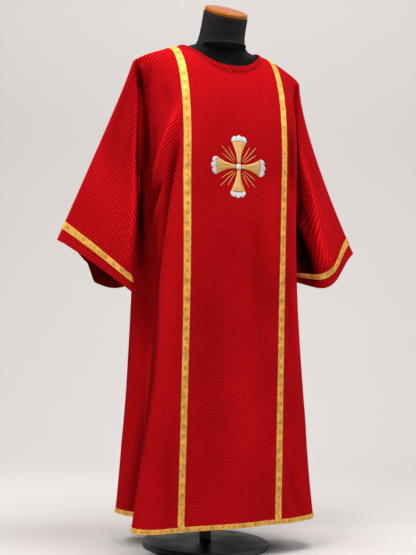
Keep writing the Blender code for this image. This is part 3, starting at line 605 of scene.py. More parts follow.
def paintedFoldShade(tree):   # painted highlight on a crest and painted shade in a trough, read from the fold attribute
    fold = addNode(tree, "ShaderNodeAttribute", attribute_name="fold").outputs["Fac"]
    return reckon(tree, "MULTIPLY", soften(tree, fold, -0.020, 0.020, 0.44, 1.58),
                  soften(tree, fold, -0.055, -0.018, 0.10, 1.0))


def finishLook(tree, shader, color, rough, height, relief, strength, shade=None):
    # wires colour, roughness and relief to the shader; a shade darkens or lightens the colour
    if shade is not None:
        scaled = addNode(tree, "ShaderNodeVectorMath", {0: color, "Scale": shade}, operation="SCALE")
        color = scaled.outputs[0]
    bump = addNode(tree, "ShaderNodeBump", {"Height": height, "Distance": relief, "Strength": strength})
    for key, value in (("Base Color", color), ("Roughness", rough), ("Normal", bump.outputs["Normal"])):
        tree.links.new(value, shader.inputs[key])


brocadeLook = {
    "cell": 0.00425,                          # side of one small square of the lattice
    "float": (0.470, 0.0040, 0.0080, 1.0),
    "glint": (0.960, 0.032, 0.042, 1.0),      # painted highlight at the middle of the satin squares
    "ground": (0.240, 0.0004, 0.0012, 1.0),   # the darker squares between
    "inside": (0.150, 0.0010, 0.0020, 1.0),
    "rising": 0.56,                           # strength of the rows that climb to the left sleeve
    "slur": 0.0030,                           # how far the rows wander
    "floatEdge": (-0.42, 0.22),
    "glintEdge": (0.35, 0.90),
    "glintShare": 0.46,
    "floatRough": 0.40,
    "groundRough": 0.62,
    "thread": 0.00062,
    "insideThread": 0.0011,
    "relief": 0.00050,
    "insideRelief": 0.00012,
}


def brocade():
    look = brocadeLook
    made, tree, shader = newMaterial("red lattice brocade", {
        "Sheen Weight": 0.10, "Sheen Roughness": 0.35, "Sheen Tint": (1.0, 0.05, 0.07, 1.0),
        "Specular IOR Level": 0.0})
    place, across, up = cutAxes(tree)
    slur = reckon(tree, "MULTIPLY_ADD", noise(tree, place, 9.0, 2.0), look["slur"], -look["slur"] / 2)
    climb = reckon(tree, "ADD", up, slur)
    rising = wave(tree, reckon(tree, "SUBTRACT", across, climb), 2 * look["cell"])
    falling = wave(tree, reckon(tree, "ADD", across, climb), 2 * look["cell"])
    lattice = reckon(tree, "MULTIPLY_ADD", rising, look["rising"],
                     reckon(tree, "MULTIPLY", falling, 1 - look["rising"]))
    floats = soften(tree, lattice, *look["floatEdge"])
    threads = mixNumber(tree, floats, wave(tree, across, look["thread"]), wave(tree, up, look["thread"]))
    fuzz = noise(tree, place, 900.0, 2.0)
    height = reckon(tree, "MULTIPLY_ADD", threads, 0.10, floats)
    height = reckon(tree, "MULTIPLY_ADD", fuzz, 0.25, height)
    color = blendColor(tree, floats, look["ground"], look["float"])
    # painted highlight: a paler red at the peak of each satin square
    glint = reckon(tree, "MULTIPLY", soften(tree, lattice, *look["glintEdge"]),
                   soften(tree, fuzz, 0.3, 0.6, 0.3, 1.0))
    color = blendColor(tree, reckon(tree, "MULTIPLY", glint, look["glintShare"]), color, look["glint"])
    patches = soften(tree, noise(tree, place, 6.0, 3.0), 0.25, 0.75, 0.90, 1.08)
    grain = soften(tree, fuzz, 0.2, 0.8, 0.88, 1.08)
    # random tone, times the painted light and shade of the folds
    shade = reckon(tree, "MULTIPLY", reckon(tree, "MULTIPLY", patches, grain), paintedFoldShade(tree))
    rough = mixNumber(tree, floats, look["groundRough"], look["floatRough"])
    finishLook(tree, shader, color, rough, height, look["relief"], 0.9, shade)
    return made


def lining():   # the plain wrong side of the cloth
    look = brocadeLook
    made, tree, shader = newMaterial("red cloth, wrong side", {
        "Sheen Weight": 0.05, "Sheen Roughness": 0.5, "Sheen Tint": (1.0, 0.10, 0.12, 1.0),
        "Specular IOR Level": 0.0})
    place, across, up = cutAxes(tree)
    threads = reckon(tree, "MULTIPLY", wave(tree, up, look["insideThread"]),
                     wave(tree, across, look["insideThread"]))
    patches = soften(tree, noise(tree, place, 14.0, 4.0), 0.3, 0.7)
    color = blendColor(tree, patches, look["inside"], toned(look["inside"], 1.25))
    rough = soften(tree, threads, -1.0, 1.0, 0.80, 0.66)
    # the folds' painted light and shade darken or lighten the wrong side too
    finishLook(tree, shader, color, rough, threads, look["insideRelief"], 0.8, paintedFoldShade(tree))
    return made


galloonLook = {
    "repeat": 0.0245,                       # from one medallion to the next
    "medallion": 0.0058,                    # radius of the darker round
    "lobe": 0.0006,                         # how far its four lobes stand out
    "petal": 0.0015,
    "lattice": 0.0052,                      # small diamonds between the medallions
    "rib": 0.0042,
    "threads": (0.0008, 0.0009),
    "ground": (0.690, 0.290, 0.028, 1.0),
    "dark": (0.580, 0.230, 0.020, 1.0),
    "bright": (0.900, 0.570, 0.135, 1.0),
    # painted highlight: pale specks of glitter
    "paintedSparkle": (1.0, 0.76, 0.38, 1.0),
    "edge": (0.560, 0.210, 0.018, 1.0),
    "relief": 0.00028,
}


def galloon(name, width):
    look = galloonLook
    made, tree, shader = newMaterial(name, {
        "Metallic": 0.30, "Specular IOR Level": 0.12, "Specular Tint": (1.0, 0.86, 0.55, 1.0)})
    place, across, up = cutAxes(tree)
    size = min(1.0, width / garment["clavusWidth"])   # narrower galloon has a smaller pattern
    repeat, medallion, lobe = (look[key] * size for key in ("repeat", "medallion", "lobe"))
    along = reckon(tree, "SUBTRACT", reckon(tree, "FRACT", reckon(tree, "DIVIDE", up, repeat)), 0.5)
    farther = reckon(tree, "ABSOLUTE", reckon(tree, "DIVIDE", across, width / 2))
    y = reckon(tree, "MULTIPLY", along, repeat)
    squares = [reckon(tree, "MULTIPLY", value, value) for value in (across, y)]
    radius = reckon(tree, "SQRT", reckon(tree, "ADD", *squares))
    lobed = reckon(tree, "COSINE", reckon(tree, "MULTIPLY", reckon(tree, "ARCTAN2", y, across), 4.0))
    outline = reckon(tree, "MULTIPLY_ADD", lobed, lobe, medallion)
    inside = soften(tree, reckon(tree, "SUBTRACT", radius, outline), -0.0022, 0.0010, 1.0, 0.0)
    ring = reckon(tree, "ABSOLUTE", reckon(tree, "SUBTRACT", radius, medallion + 0.0010))
    ring = reckon(tree, "MULTIPLY", soften(tree, ring, 0.0002, 0.0016, 0.6, 0.0), 0.20)
    petals = reckon(tree, "MULTIPLY_ADD", lobed, -lobe, look["petal"] * size)
    flower = soften(tree, reckon(tree, "SUBTRACT", radius, petals), -0.0003, 0.0003, 1.0, 0.0)
    flower = reckon(tree, "MULTIPLY", flower, 0.30)
    rising = wave(tree, reckon(tree, "ADD", across, up), look["lattice"] * size)
    falling = wave(tree, reckon(tree, "SUBTRACT", across, up), look["lattice"] * size)
    lines = soften(tree, reckon(tree, "MAXIMUM", rising, falling), 0.55, 0.90)
    border = soften(tree, farther, 0.80, 0.88)
    ribs = reckon(tree, "MULTIPLY", border, soften(tree, wave(tree, up, look["rib"]), -0.5, 0.3))
    outside = reckon(tree, "SUBTRACT", 0.75, reckon(tree, "MULTIPLY", inside, 0.75))
    motif = reckon(tree, "MULTIPLY", lines, outside)
    motif = reckon(tree, "MAXIMUM", reckon(tree, "MAXIMUM", motif, flower), ring)
    motif = reckon(tree, "MULTIPLY", motif, reckon(tree, "SUBTRACT", 1.0, border))
    motif = reckon(tree, "MAXIMUM", motif, ribs)
    threads = reckon(tree, "MULTIPLY", *(wave(tree, value, pitch)
                                         for value, pitch in zip((up, across), look["threads"])))
    # fine noise for the threads' relief and for the painted glitter
    glint = noise(tree, place, 1500.0, 1.0)
    height = reckon(tree, "MULTIPLY_ADD", threads, 0.16, motif)
    height = reckon(tree, "MULTIPLY_ADD", glint, 0.5, height)
    color = blendColor(tree, inside, look["ground"], look["dark"])
    color = blendColor(tree, motif, color, look["bright"])
    # painted highlight: pale specks of glitter on the gold
    paintedSparkle = reckon(tree, "MULTIPLY", soften(tree, glint, 0.48, 0.72), 0.35)
    color = blendColor(tree, paintedSparkle, color, look["paintedSparkle"])
    color = blendColor(tree, soften(tree, farther, 0.94, 1.0), color, look["edge"])
    shade = soften(tree, noise(tree, place, 44.0, 3.0), 0.30, 0.70, 0.74, 1.20)
    finishLook(tree, shader, color, mixNumber(tree, motif, 0.50, 0.30), height, look["relief"], 0.9, shade)
    return made


def satinStitch(name, base, bright):
    made, tree, shader = newMaterial(name, {
        "Metallic": 0.25, "Specular IOR Level": 0.6, "Sheen Weight": 0.08, "Sheen Roughness": 0.3})
    place, _, up = cutAxes(tree)
    wavering = reckon(tree, "MULTIPLY_ADD", noise(tree, place, 220.0, 1.0), 0.0008, up)
    rows = wave(tree, wavering, 0.00075)
    height = reckon(tree, "MULTIPLY_ADD", noise(tree, place, 1400.0, 2.0), 0.5, rows)
    # lighter on the raised rows of thread and darker between them: painted highlight and painted shade
    color = blendColor(tree, soften(tree, height, -0.6, 1.2), base, bright)
    finishLook(tree, shader, color, soften(tree, rows, -1.0, 1.0, 0.48, 0.30), height, 0.00012, 1.0)
    return made


def threadMaterial(name, color):
    made, tree, shader = newMaterial(name, {"Sheen Weight": 0.2, "Sheen Roughness": 0.4})
    twist = noise(tree, onPiece(tree), 1200.0, 2.0)
    finishLook(tree, shader, blendColor(tree, twist, toned(color, 0.75), color),
               soften(tree, twist, 0.3, 0.7, 0.42, 0.62), twist, 0.00010, 0.8)
    return made


def jersey():   # black knitted cover of the dress form
    made, tree, shader = newMaterial("black form jersey", {
        "Sheen Weight": 0.03, "Sheen Roughness": 0.6, "Specular IOR Level": 0.12})
    place, across, up = cutAxes(tree)
    loop = reckon(tree, "ABSOLUTE", wave(tree, across, 0.0026))
    slant = reckon(tree, "MULTIPLY_ADD", loop, 0.0009, up)
    knit = reckon(tree, "MULTIPLY", wave(tree, slant, 0.0016), loop)
    color = blendColor(tree, soften(tree, noise(tree, place, 24.0, 3.0), 0.3, 0.7),
                       (0.0060, 0.0056, 0.0062, 1.0), (0.0105, 0.0098, 0.0110, 1.0))
    finishLook(tree, shader, color, soften(tree, knit, -1.0, 1.0, 0.92, 0.74), knit, 0.00025, 0.9)
    return made


def honeyWood():
    made, tree, shader = newMaterial("honey varnished beech", {
        "Coat Weight": 0.05, "Coat Roughness": 0.20, "Specular IOR Level": 0.10})
    turned = addNode(tree, "ShaderNodeMapping", {"Vector": onPiece(tree), "Rotation": (0.40, 0.05, 0.30),
                                                 "Scale": (1.0, 9.0, 9.0)}).outputs[0]
    grain = noise(tree, turned, 22.0, 5.0, Roughness=0.6)
    pores = noise(tree, turned, 190.0, 2.0)
    color = blendColor(tree, soften(tree, grain, 0.30, 0.70), (0.190, 0.044, 0.003, 1.0),
                       (0.360, 0.108, 0.007, 1.0))
    color = blendColor(tree, soften(tree, pores, 0.60, 0.72, 0.0, 0.35), color, (0.200, 0.060, 0.014, 1.0))
    finishLook(tree, shader, color, soften(tree, grain, 0.3, 0.7, 0.40, 0.30), pores, 0.00008, 0.5)
    return made


def powderCoat():
    made, tree, shader = newMaterial("black powder-coated steel", {
        "Metallic": 0.1, "Specular IOR Level": 0.5})
    place = onPiece(tree)
    worn = noise(tree, place, 16.0, 4.0)
    color = blendColor(tree, soften(tree, worn, 0.35, 0.75), (0.018, 0.018, 0.020, 1.0),
                       (0.036, 0.036, 0.038, 1.0))
    finishLook(tree, shader, color, soften(tree, worn, 0.3, 0.7, 0.42, 0.58),
               noise(tree, place, 1300.0, 2.0), 0.00006, 0.7)
    return made


cloth = brocade()
clothInside = lining()
goldStitch = satinStitch("gold satin stitch", (0.560, 0.260, 0.045, 1.0), (0.900, 0.560, 0.180, 1.0))
silverStitch = satinStitch("silver satin stitch", (0.500, 0.500, 0.520, 1.0), (0.860, 0.860, 0.880, 1.0))
redThread = threadMaterial("red sewing thread", (0.420, 0.004, 0.012, 1.0))
goldThread = threadMaterial("gold sewing thread", (0.760, 0.420, 0.100, 1.0))
print("materials made")

panelGrid = {"neck": 44, "clavus": 3, "side": 56, "skirtRows": 132, "yokeRows": 80, "yokeCrowd": 1.4,
             "backSeam": (0.0026, 0.0060)}   # extra columns beside the centre-back seam
panelColumns = fineColumns(panelGrid["neck"], panelGrid["clavus"], panelGrid["side"])
skirtHeights = np.linspace(hemline, armpit, panelGrid["skirtRows"] + 1)
yokeRows = panelGrid["yokeRows"]
yokeSteps = [((k + 1) / yokeRows) ** panelGrid["yokeCrowd"] for k in range(yokeRows)]
panels = {}
for face in ("front", "back"):
    ends = neckTurns(face, panelColumns)
    levels = [height - armpit for height in skirtHeights]
    levels += [ends * step for step in yokeSteps]
    points, normals = panelPatch(face, panelColumns, levels)
    across, up, lift, fold = panelLift(face, panelColumns, levels)
    panels[face] = {"points": points, "normals": normals, "across": across, "up": up, "lift": lift,
                    "fold": fold}
print("panels charted")

sleeveShape = {
    "pinch": {"front": 1.0, "back": {"right": 1.8, "left": 2.2}},
    # where the back layer starts to drop and is lowest, how it tapers after that, and its rise before it
    "lobe": {"right": (0.47, 0.63, 0.55, 0.28), "left": None},
    "sagPower": 1.7,
    "round": 0.16,
    "underarmBend": 0.32,
    "reach": 0.30,    # the armhole's outline dies out over this share of the sleeve
    "band": 0.020,
    "margin": 0.030,   # cloth past the band
    "rows": 76,
    "rowCrowd": 1.15,
    "bandRows": 5,
    "marginRows": 6,
    "fade": (0.030, 0.020),   # creases die out this close to the armhole and the underarm seam
    "sinkReach": 0.020,
    "right": {
        "side": -1.0, "cuffTop": (0.455, 0.812), "cuffLow": (0.262, 0.698), "topBend": 1.04,
        "stations": [   # t, front share, fore, front sag, back share, aft, back sag
            (0.00, 0.50, 0.024, 0.000, 0.50, 0.024, 0.000),
            (0.25, 0.46, 0.060, 0.000, 0.54, 0.046, 0.000),
            (0.50, 0.52, 0.080, 0.000, 0.60, 0.088, 0.002),
            (0.75, 0.60, 0.084, 0.008, 0.62, 0.072, 0.009),
            (1.00, 0.70, 0.078, 0.024, 0.60, 0.046, 0.034),
        ]},
    "left": {
        "side": 1.0, "cuffTop": (0.468, 0.808), "cuffLow": (0.262, 0.722), "topBend": 1.35,
        "stations": [
            (0.00, 0.50, 0.024, 0.000, 0.50, 0.024, 0.000),
            (0.25, 0.46, 0.046, 0.000, 0.56, 0.058, 0.000),
            (0.50, 0.50, 0.086, 0.000, 0.66, 0.084, 0.002),
            (0.75, 0.52, 0.108, 0.009, 0.70, 0.094, 0.008),
            (1.00, 0.54, 0.108, 0.033, 0.74, 0.100, 0.016),
        ]},
}


def sleeveProfile(turn, pinch):   # how far a layer stands forward or back round its half turn
    widest = math.acos(-pinch / (1 + pinch))
    peak = math.sin(widest) * ((1 - math.cos(widest)) / 2) ** pinch
    drop = np.sin(turn) * ((1 - np.cos(turn)) / 2) ** pinch / peak
    return drop + sleeveShape["round"] * (np.sin(turn) - drop)


def sleeveHang(profile, chord, lobe):   # how the sag is shared out along a layer's edge
    if not lobe:
        return abs(profile) ** sleeveShape["sagPower"]
    begins, full, taper, rise = lobe
    tail = np.clip((1 - chord) / (1 - full), 0.0, 1.0) ** taper
    hump = np.sin(math.pi * np.clip(chord / begins, 0.0, 1.0)) ** 2
    return smoothStep((chord - begins) / (full - begins)) * tail - rise * hump


def sleeveRing(spec, ends, turn, t):   # the sleeve's outline at t, from the armhole to the cuff
    topStart, lowStart, topEnd, lowEnd = ends
    top = topStart + (topEnd - topStart) * np.array([t ** spec["topBend"], t, t])
    low = lowStart + (lowEnd - lowStart) * np.array([t ** sleeveShape["underarmBend"], t, t])
    hang = rowsAt(spec["stations"], t)
    side = "left" if spec["side"] > 0 else "right"
    ahead = np.sin(turn) >= 0
    ring = np.zeros((len(turn), 3))
    for mask, (share, reach, sag), pinch, lobe in (
            (ahead, hang[:3], sleeveShape["pinch"]["front"], None),
            (~ahead, hang[3:], sleeveShape["pinch"]["back"][side], sleeveShape["lobe"][side])):
        chord = (1 + 2 * share) / 4 - 0.5 * np.cos(turn) + (1 - 2 * share) / 4 * np.cos(2 * turn)
        profile = sleeveProfile(turn, pinch * min(1.0, 3 * t))
        layer = top + (low - top) * chord[:, None]
        layer[:, 1] -= reach * profile
        layer[:, 2] -= sag * sleeveHang(profile, chord, lobe)
        ring[mask] = layer[mask]
    return ring


armpitRow = panelGrid["skirtRows"]
topRow = armpitRow + panelGrid["yokeRows"]
lastColumn = len(panelColumns) - 1
seamColumn = {"right": 0, "left": lastColumn}
sleeves = {}
for name, edge in seamColumn.items():
    spec = sleeveShape[name]
    down = [panels["front"]["points"][row, edge] for row in range(topRow, armpitRow, -1)]
    rise = [panels["back"]["points"][row, edge] for row in range(armpitRow, topRow)]
    armhole = np.array(down + rise)
    count = len(armhole)
    cuffTop = np.array([spec["side"] * spec["cuffTop"][0], 0.0, spec["cuffTop"][1]])
    cuffLow = np.array([spec["side"] * spec["cuffLow"][0], 0.0, spec["cuffLow"][1]])
    length = np.linalg.norm(cuffTop - armhole[0])
    lowEdge = 1.0 - sleeveShape["margin"] / length
    highEdge = lowEdge - sleeveShape["band"] / length
    rows = np.linspace(0.0, 1.0, sleeveShape["rows"] + 1) ** sleeveShape["rowCrowd"]
    stations = np.concatenate([highEdge * rows, np.linspace(highEdge, lowEdge, sleeveShape["bandRows"])[1:],
                               np.linspace(lowEdge, 1.0, sleeveShape["marginRows"])[1:]])
    turn = 2 * math.pi * np.arange(count) / count
    ends = (armhole[0], armhole[count // 2], cuffTop, cuffLow)
    shift = armhole - sleeveRing(spec, ends, turn, 0.0)
    rings = np.array([sleeveRing(spec, ends, turn, t) + shift * max(0.0, 1.0 - t / sleeveShape["reach"]) ** 2
                      for t in stations])
    rings[0] = armhole
    normals = gridNormals(rings, loops=True)
    normals *= np.sign(np.sum(normals * (rings - rings.mean(axis=1, keepdims=True))))
    sleeves[name] = {"points": rings, "normals": normals}

frontNormals, backNormals = panels["front"]["normals"], panels["back"]["normals"]
for name, edge in seamColumn.items():
    ringNormals = sleeves[name]["normals"]
    for row in range(armpitRow):
        shareNormals((frontNormals, (row, edge), 1), (backNormals, (row, edge), 1))
    for k in range(1, yokeRows):
        shareNormals((frontNormals, (topRow - k, edge), 1), (ringNormals, (0, k), 1))
        shareNormals((backNormals, (armpitRow + k, edge), 1), (ringNormals, (0, yokeRows + k), 1))
    for row, k in ((armpitRow, yokeRows), (topRow, 0)):
        shareNormals((frontNormals, (row, edge), 0.5), (backNormals, (row, edge), 0.5),
                     (ringNormals, (0, k), 1))
for column in range(1, lastColumn):
    if abs(panelColumns[column]) > garment["neckWidth"] - 1e-6:
        shareNormals((frontNormals, (topRow, column), 1), (backNormals, (topRow, column), 1))

half = garment["wall"] / 2
gap = garment["gap"]
made = {}   # pieces by name, with what the later ones need of them
centre = int(np.argmin(abs(panelColumns)))
for node, face, part in (("front_panel", "front", slice(0, lastColumn + 1)),
                         ("back_panel_right", "back", slice(0, centre + 1)),
                         ("back_panel_left", "back", slice(centre, lastColumn + 1))):
    cut = {key: value[:, part] for key, value in panels[face].items()}
    made[node] = clothWall(node + "_cloth", cut["points"], cut["normals"], cut["lift"] - half,
                           cut["lift"] + half, cut["across"], cut["up"], [cloth, clothInside],
                           pull=(gap / 2, gap / 2), fold=cut["fold"])
    made["cut " + node] = cut
    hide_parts(node)

for name, sleeve in sleeves.items():
    count = sleeve["points"].shape[1]
    order = np.roll(np.arange(count), -(count // 2))   # starts at the underarm seam
    rings, normals = sleeve["points"][:, order], sleeve["normals"][:, order]
    around, along = runAlong(rings, 1), runAlong(rings, 0)
    top = count - count // 2
    girth = around[:, -1:] + np.linalg.norm(rings[:, :1] - rings[:, -1:], axis=2)
    toSeam = np.minimum(around, girth - around)
    around = around - around[:, top:top + 1]
    # flat on the cut: out from the fold along the arm, and down it
    fold = rings[:, top]
    drops = (rings[:, 0] - fold) * np.array([1.0, 0.0, 1.0])
    leans = np.arccos(np.clip(unit(drops) @ unit(fold[-1] - fold[0]), -1.0, 1.0))[:, None]
    cutAcross = around * np.sin(leans)
    cutAlong = runAlong(fold[:, None], 0) + abs(around) * np.cos(leans)
    fadeAlong, fadeAround = sleeveShape["fade"]
    fade = smoothStep(along / fadeAlong) * smoothStep(toSeam / fadeAround)
    lift = creaseHeight(creases[name], around, along) * fade
    lift += seamHeight(along, around, seam["phase"]["armhole"])
    lift += seamHeight(toSeam, along, seam["phase"]["underarm"])
    edge = seamColumn[name]
    sunk = [panels["front"]["lift"][row, edge] for row in range(topRow, armpitRow, -1)]
    sunk += [panels["back"]["lift"][row, edge] for row in range(armpitRow, topRow)]
    sunk = np.array(sunk)[order] + seam["dip"]
    lift += sunk * np.exp(-(along / sleeveShape["sinkReach"]) ** 2)
    lift[0] = sunk - seam["dip"]
    sleeve.update(points=rings, normals=normals, around=around, along=along, lift=lift)
    # fold: the lift plus the painted light and shade lines, for the colour
    made[name] = clothWall(name + "_sleeve", rings, normals, lift - half, lift + half, cutAcross, -cutAlong,
                           [cloth, clothInside], loops=True, pull=(gap, 0.0),
                           fold=lift + creaseHeight(paintedLightAndShade[name], around, along))
    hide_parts("sleeve_" + name)
print("panels and sleeves sewn")

trim = {
    "wall": 0.0012, "edgeShare": 0.72, "crown": 0.0003,   # edges are thinner than the middle
    "ripple": 0.00025, "ripplePitch": 0.043, "phase": {"right": 2.2, "left": 0.5, "hem": 0.9, "cuff": 1.7},
    "hemWidth": 0.0125, "ribbonColumns": 7, "ribbonRows": 300, "skirtShare": 0.72,
    "inset": 0.00005, "tuck": 0.0065, "over": 0.0018, "overFade": 0.010,
}
clavusGold = galloon("gold galloon, 19 mm", garment["clavusWidth"])
hemGold = galloon("gold galloon, hem", trim["hemWidth"])
cuffGold = galloon("gold galloon, cuff", sleeveShape["band"])


def ribbonHigh(share, along, phase):   # crowned between thin edges, with a slight ripple along them
    crown = 1.0 - (2.0 * share - 1.0) ** 4
    ripple = trim["ripple"] * np.sin(2 * math.pi * along / trim["ripplePitch"] + phase) * (1.0 - crown)
    middle = trim["wall"] * (1.0 - trim["edgeShare"]) + trim["crown"]
    return half + gap + trim["wall"] * trim["edgeShare"] + middle * crown + ripple


for name, sign in (("right", -1.0), ("left", 1.0)):
    inner = garment["clavusMiddle"] - garment["clavusWidth"] / 2
    share = np.linspace(0.0, 1.0, trim["ribbonColumns"])
    columns = sign * (inner + trim["inset"] + (garment["clavusWidth"] - 2 * trim["inset"]) * share)
    start = hemline + trim["tuck"]
    strips = []
    for face in ("front", "back"):
        ends = neckTurns(face, columns)
        skirtRows = int(trim["ribbonRows"] * trim["skirtShare"])
        heights = np.linspace(start, armpit, skirtRows)
        turns = np.linspace(0.0, 1.0, trim["ribbonRows"] - skirtRows + 1)[1:]
        levels = [height - armpit for height in heights] + [ends * t for t in turns]
        points, normals = panelPatch(face, columns, levels)
        _, up, lift, _ = panelLift(face, columns, levels)
        # it runs over the hem's galloon
        above = (points[..., 2] - hemline - trim["hemWidth"]) / trim["overFade"]
        strips.append((points, normals, lift + trim["over"] * (1.0 - smoothStep(above)), up))
    front, back = strips
    for column in range(len(columns)):
        shareNormals((front[1], (-1, column), 1), (back[1], (-1, column), 1))
    points, normals, lift = (np.concatenate([front[k], back[k][-2::-1]]) for k in range(3))
    up = np.concatenate([front[3], front[3][-1] + back[3][-1] - back[3][-2::-1]])
    across = np.broadcast_to(garment["clavusWidth"] * (share - 0.5), up.shape)
    high = lift + ribbonHigh(share[None, :], up, trim["phase"][name])
    piece = clothWall(name + "_clavus", points, normals, lift + half + gap, high, across, up, [clavusGold],
                      pull=(gap, 0.0))
    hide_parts("clavus_" + name)
    made["clavus " + name] = piece
    made["edge " + name] = {"points": points, "normals": normals, "high": high, "across": across, "up": up}

bandShare = np.linspace(0.0, 1.0, sleeveShape["bandRows"])[:, None]
ribbonEdges, sheets = {}, {}


def bandAround(name, points, normals, lift, around, width, phase, finish):   # a galloon all round an opening
    across = np.broadcast_to(width * (bandShare - 0.5), around.shape)
    high = lift + ribbonHigh(bandShare, around, phase)
    piece = clothWall(name, points, normals, lift + half + gap, high, around, across, [finish], loops=True,
                      turned=True)
    ribbonEdges[piece.name] = (points, normals, high)
    sheets[piece.name] = (points, around, across)
    return piece


hemLevels = hemline + trim["hemWidth"] * bandShare[:, 0] - armpit
strips = [(*panelPatch(face, panelColumns, hemLevels), panelLift(face, panelColumns, hemLevels)[2])
          for face in ("front", "back")]
for row in range(len(hemLevels)):
    for edge in seamColumn.values():
        shareNormals((strips[0][1], (row, edge), 1), (strips[1][1], (row, edge), 1))
points, normals, lift = (np.concatenate([front, back[:, -2:0:-1]], axis=1) for front, back in zip(*strips))
hem = bandAround("galloon_at_hem", points, normals, lift, runAlong(points, 1), trim["hemWidth"],
                 trim["phase"]["hem"], hemGold)
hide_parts("hem_galloon")
for name, sleeve in sleeves.items():
    rows = slice(sleeveShape["rows"], sleeveShape["rows"] + len(bandShare))
    parts = (sleeve[key][rows] for key in ("points", "normals", "lift", "around"))
    made["band " + name] = bandAround(name + "_cuff_band", *parts, sleeveShape["band"],
                                      trim["phase"]["cuff"], cuffGold)
    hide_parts("cuff_band_" + name)
print("galloons laid on")

binding = {
    "width": 0.010, "wall": 0.0034, "count": 120,
    "pleat": 0.0062, "depth": 0.00045, "lean": 5.0, "wander": (0.8, 37.0),
    # shade: fold attribute values, a darker tone all over, painted highlight on the pleats' crests and
    # painted shade in the stitched groove
    "shade": {"all": -0.0070, "pleats": 0.0075, "groove": -0.012},
    # share of the width, and swell there
    "profile": [(0.0, 0.62), (0.10, 0.92), (0.28, 1.10), (0.50, 1.16), (0.72, 1.10), (0.90, 0.95),
                (1.0, 0.70)],
    "groove": 0.16, "grooveWidth": 0.07, "grooveDepth": 0.0009,   # where its foot is stitched down
}
neckPlaces = [garment["neckWidth"] * math.sin(math.pi * (k / binding["count"] - 0.5))
              for k in range(binding["count"] + 1)]
rings, directions = [], []
for share, _ in binding["profile"]:
    inset = gap + binding["width"] * share
    inner = np.array(neckPlaces) * (garment["neckWidth"] - inset) / garment["neckWidth"]
    parts, outs = [], []
    for face in ("front", "back"):
        turns = neckTurns(face, inner, inset)
        parts.append(facePoints(face, inner, turns))
        outs.append(faceNormals(face, inner, turns))
    rings.append(np.concatenate([parts[0], parts[1][-2:0:-1]]))
    directions.append(np.concatenate([outs[0], outs[1][-2:0:-1]]))
rings, directions = np.array(rings), np.array(directions)
around = runAlong(rings, 1)
shares, swells = np.array(binding["profile"]).T[:, :, None]
wander, often = binding["wander"]
pleats = np.sin(2 * math.pi * around / binding["pleat"] + binding["lean"] * shares
                + wander * np.sin(around * often))
groove = np.exp(-((shares - binding["groove"]) / binding["grooveWidth"]) ** 2)
high = binding["wall"] * swells + binding["depth"] * pleats * np.sin(math.pi * shares)
high -= binding["grooveDepth"] * groove
across = np.broadcast_to(binding["width"] * shares, around.shape)
shade = binding["shade"]
neck = clothWall("binding_of_neck", rings - directions * half, directions, 0.0, high, around, across, [cloth],
                 loops=True, fold=shade["all"] + shade["pleats"] * pleats + shade["groove"] * groove)
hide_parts("neck_binding")
sheets[neck.name] = (rings, around, across)
foot = int(np.argmin(abs(shares[:, 0] - binding["groove"])))
bindingFoot = (rings[foot] + directions[foot] * (high[foot][:, None] - half), directions[foot])
print("neck bound")


crossShape = {
    "height": 1.0165, "arm": (0.0095, 0.0620), "half": (0.0050, 0.0210), "bow": 0.004,
    "cap": (0.0010, 0.0040, 0.0095),   # gap to the arm, least depth, and how much deeper its lobes are
    "lobes": [(-0.64, 0.36), (0.0, 0.42), (0.64, 0.36)],   # middle and half width of each, as shares
    "capFlare": 0.10, "boss": 0.0080, "dome": 0.0016, "domeEnds": (0.05, 0.06), "edge": 0.0004,
    "lift": 0.0002, "vein": 0.0007, "veinWidth": 0.0012, "veinEnd": (0.9, 0.2),
    "armGrid": (22, 11), "capGrid": (73, 7), "rayGrid": (16, 5), "bossColumns": 40,
    "bossRadii": (0.02, 0.35, 0.62, 0.84, 0.96, 1.0), "bossDome": 1.1,
    "raySpread": 26.0, "rayStart": 0.0190, "rayEnd": (0.060, 0.074, 0.060), "rayWidth": 0.0019,
    "rayLift": 0.00015, "rayEdge": 0.0002, "rayDome": 0.0009,
    "reach": 0.12, "cells": 60,   # the chest is charted this far out from its middle
}


def frontPoint(across, height):   # place on the front's middle surface
    if height <= armpit:
        x, y = faceSection("front", height, [across])[:2]
        return np.array([x[0], y[0], height])
    x, y = faceSection("front", armpit, [across])[:2]
    rise = (height - armpit) / (float(shoulderHeight(across)) - armpit)
    return np.array([x[0] + (across - x[0]) * rise ** 2, y[0] * math.cos(math.asin(rise)), height])


chestSpan = np.linspace(-crossShape["reach"], crossShape["reach"], crossShape["cells"] + 1)
chestGrid = np.array([[frontPoint(a, crossShape["height"] + u) for a in chestSpan] for u in chestSpan])
chestNormals = gridNormals(chestGrid)
chestAcross, chestUp = np.meshgrid(chestSpan, chestSpan + crossShape["height"] - armpit)
chestLift = creaseHeight(creases["front"], chestAcross, chestUp)


def onChest(across, up):   # place, direction and lift of the cloth, read off the charted chest
    reach, cells = crossShape["reach"], crossShape["cells"]
    column, row = (np.clip((np.asarray(value, float) + reach) * cells / (2 * reach), 0, cells - 0.001)
                   for value in (across, up))
    c, r = column.astype(int), row.astype(int)
    right, above = (column - c)[..., None], (row - r)[..., None]
    results = []
    for grid in (chestGrid, chestNormals, chestLift[..., None]):
        low = grid[r, c] * (1 - right) + grid[r, c + 1] * right
        top = grid[r + 1, c] * (1 - right) + grid[r + 1, c + 1] * right
        results.append(low * (1 - above) + top * above)
    return results[0], unit(results[1]), results[2][..., 0]


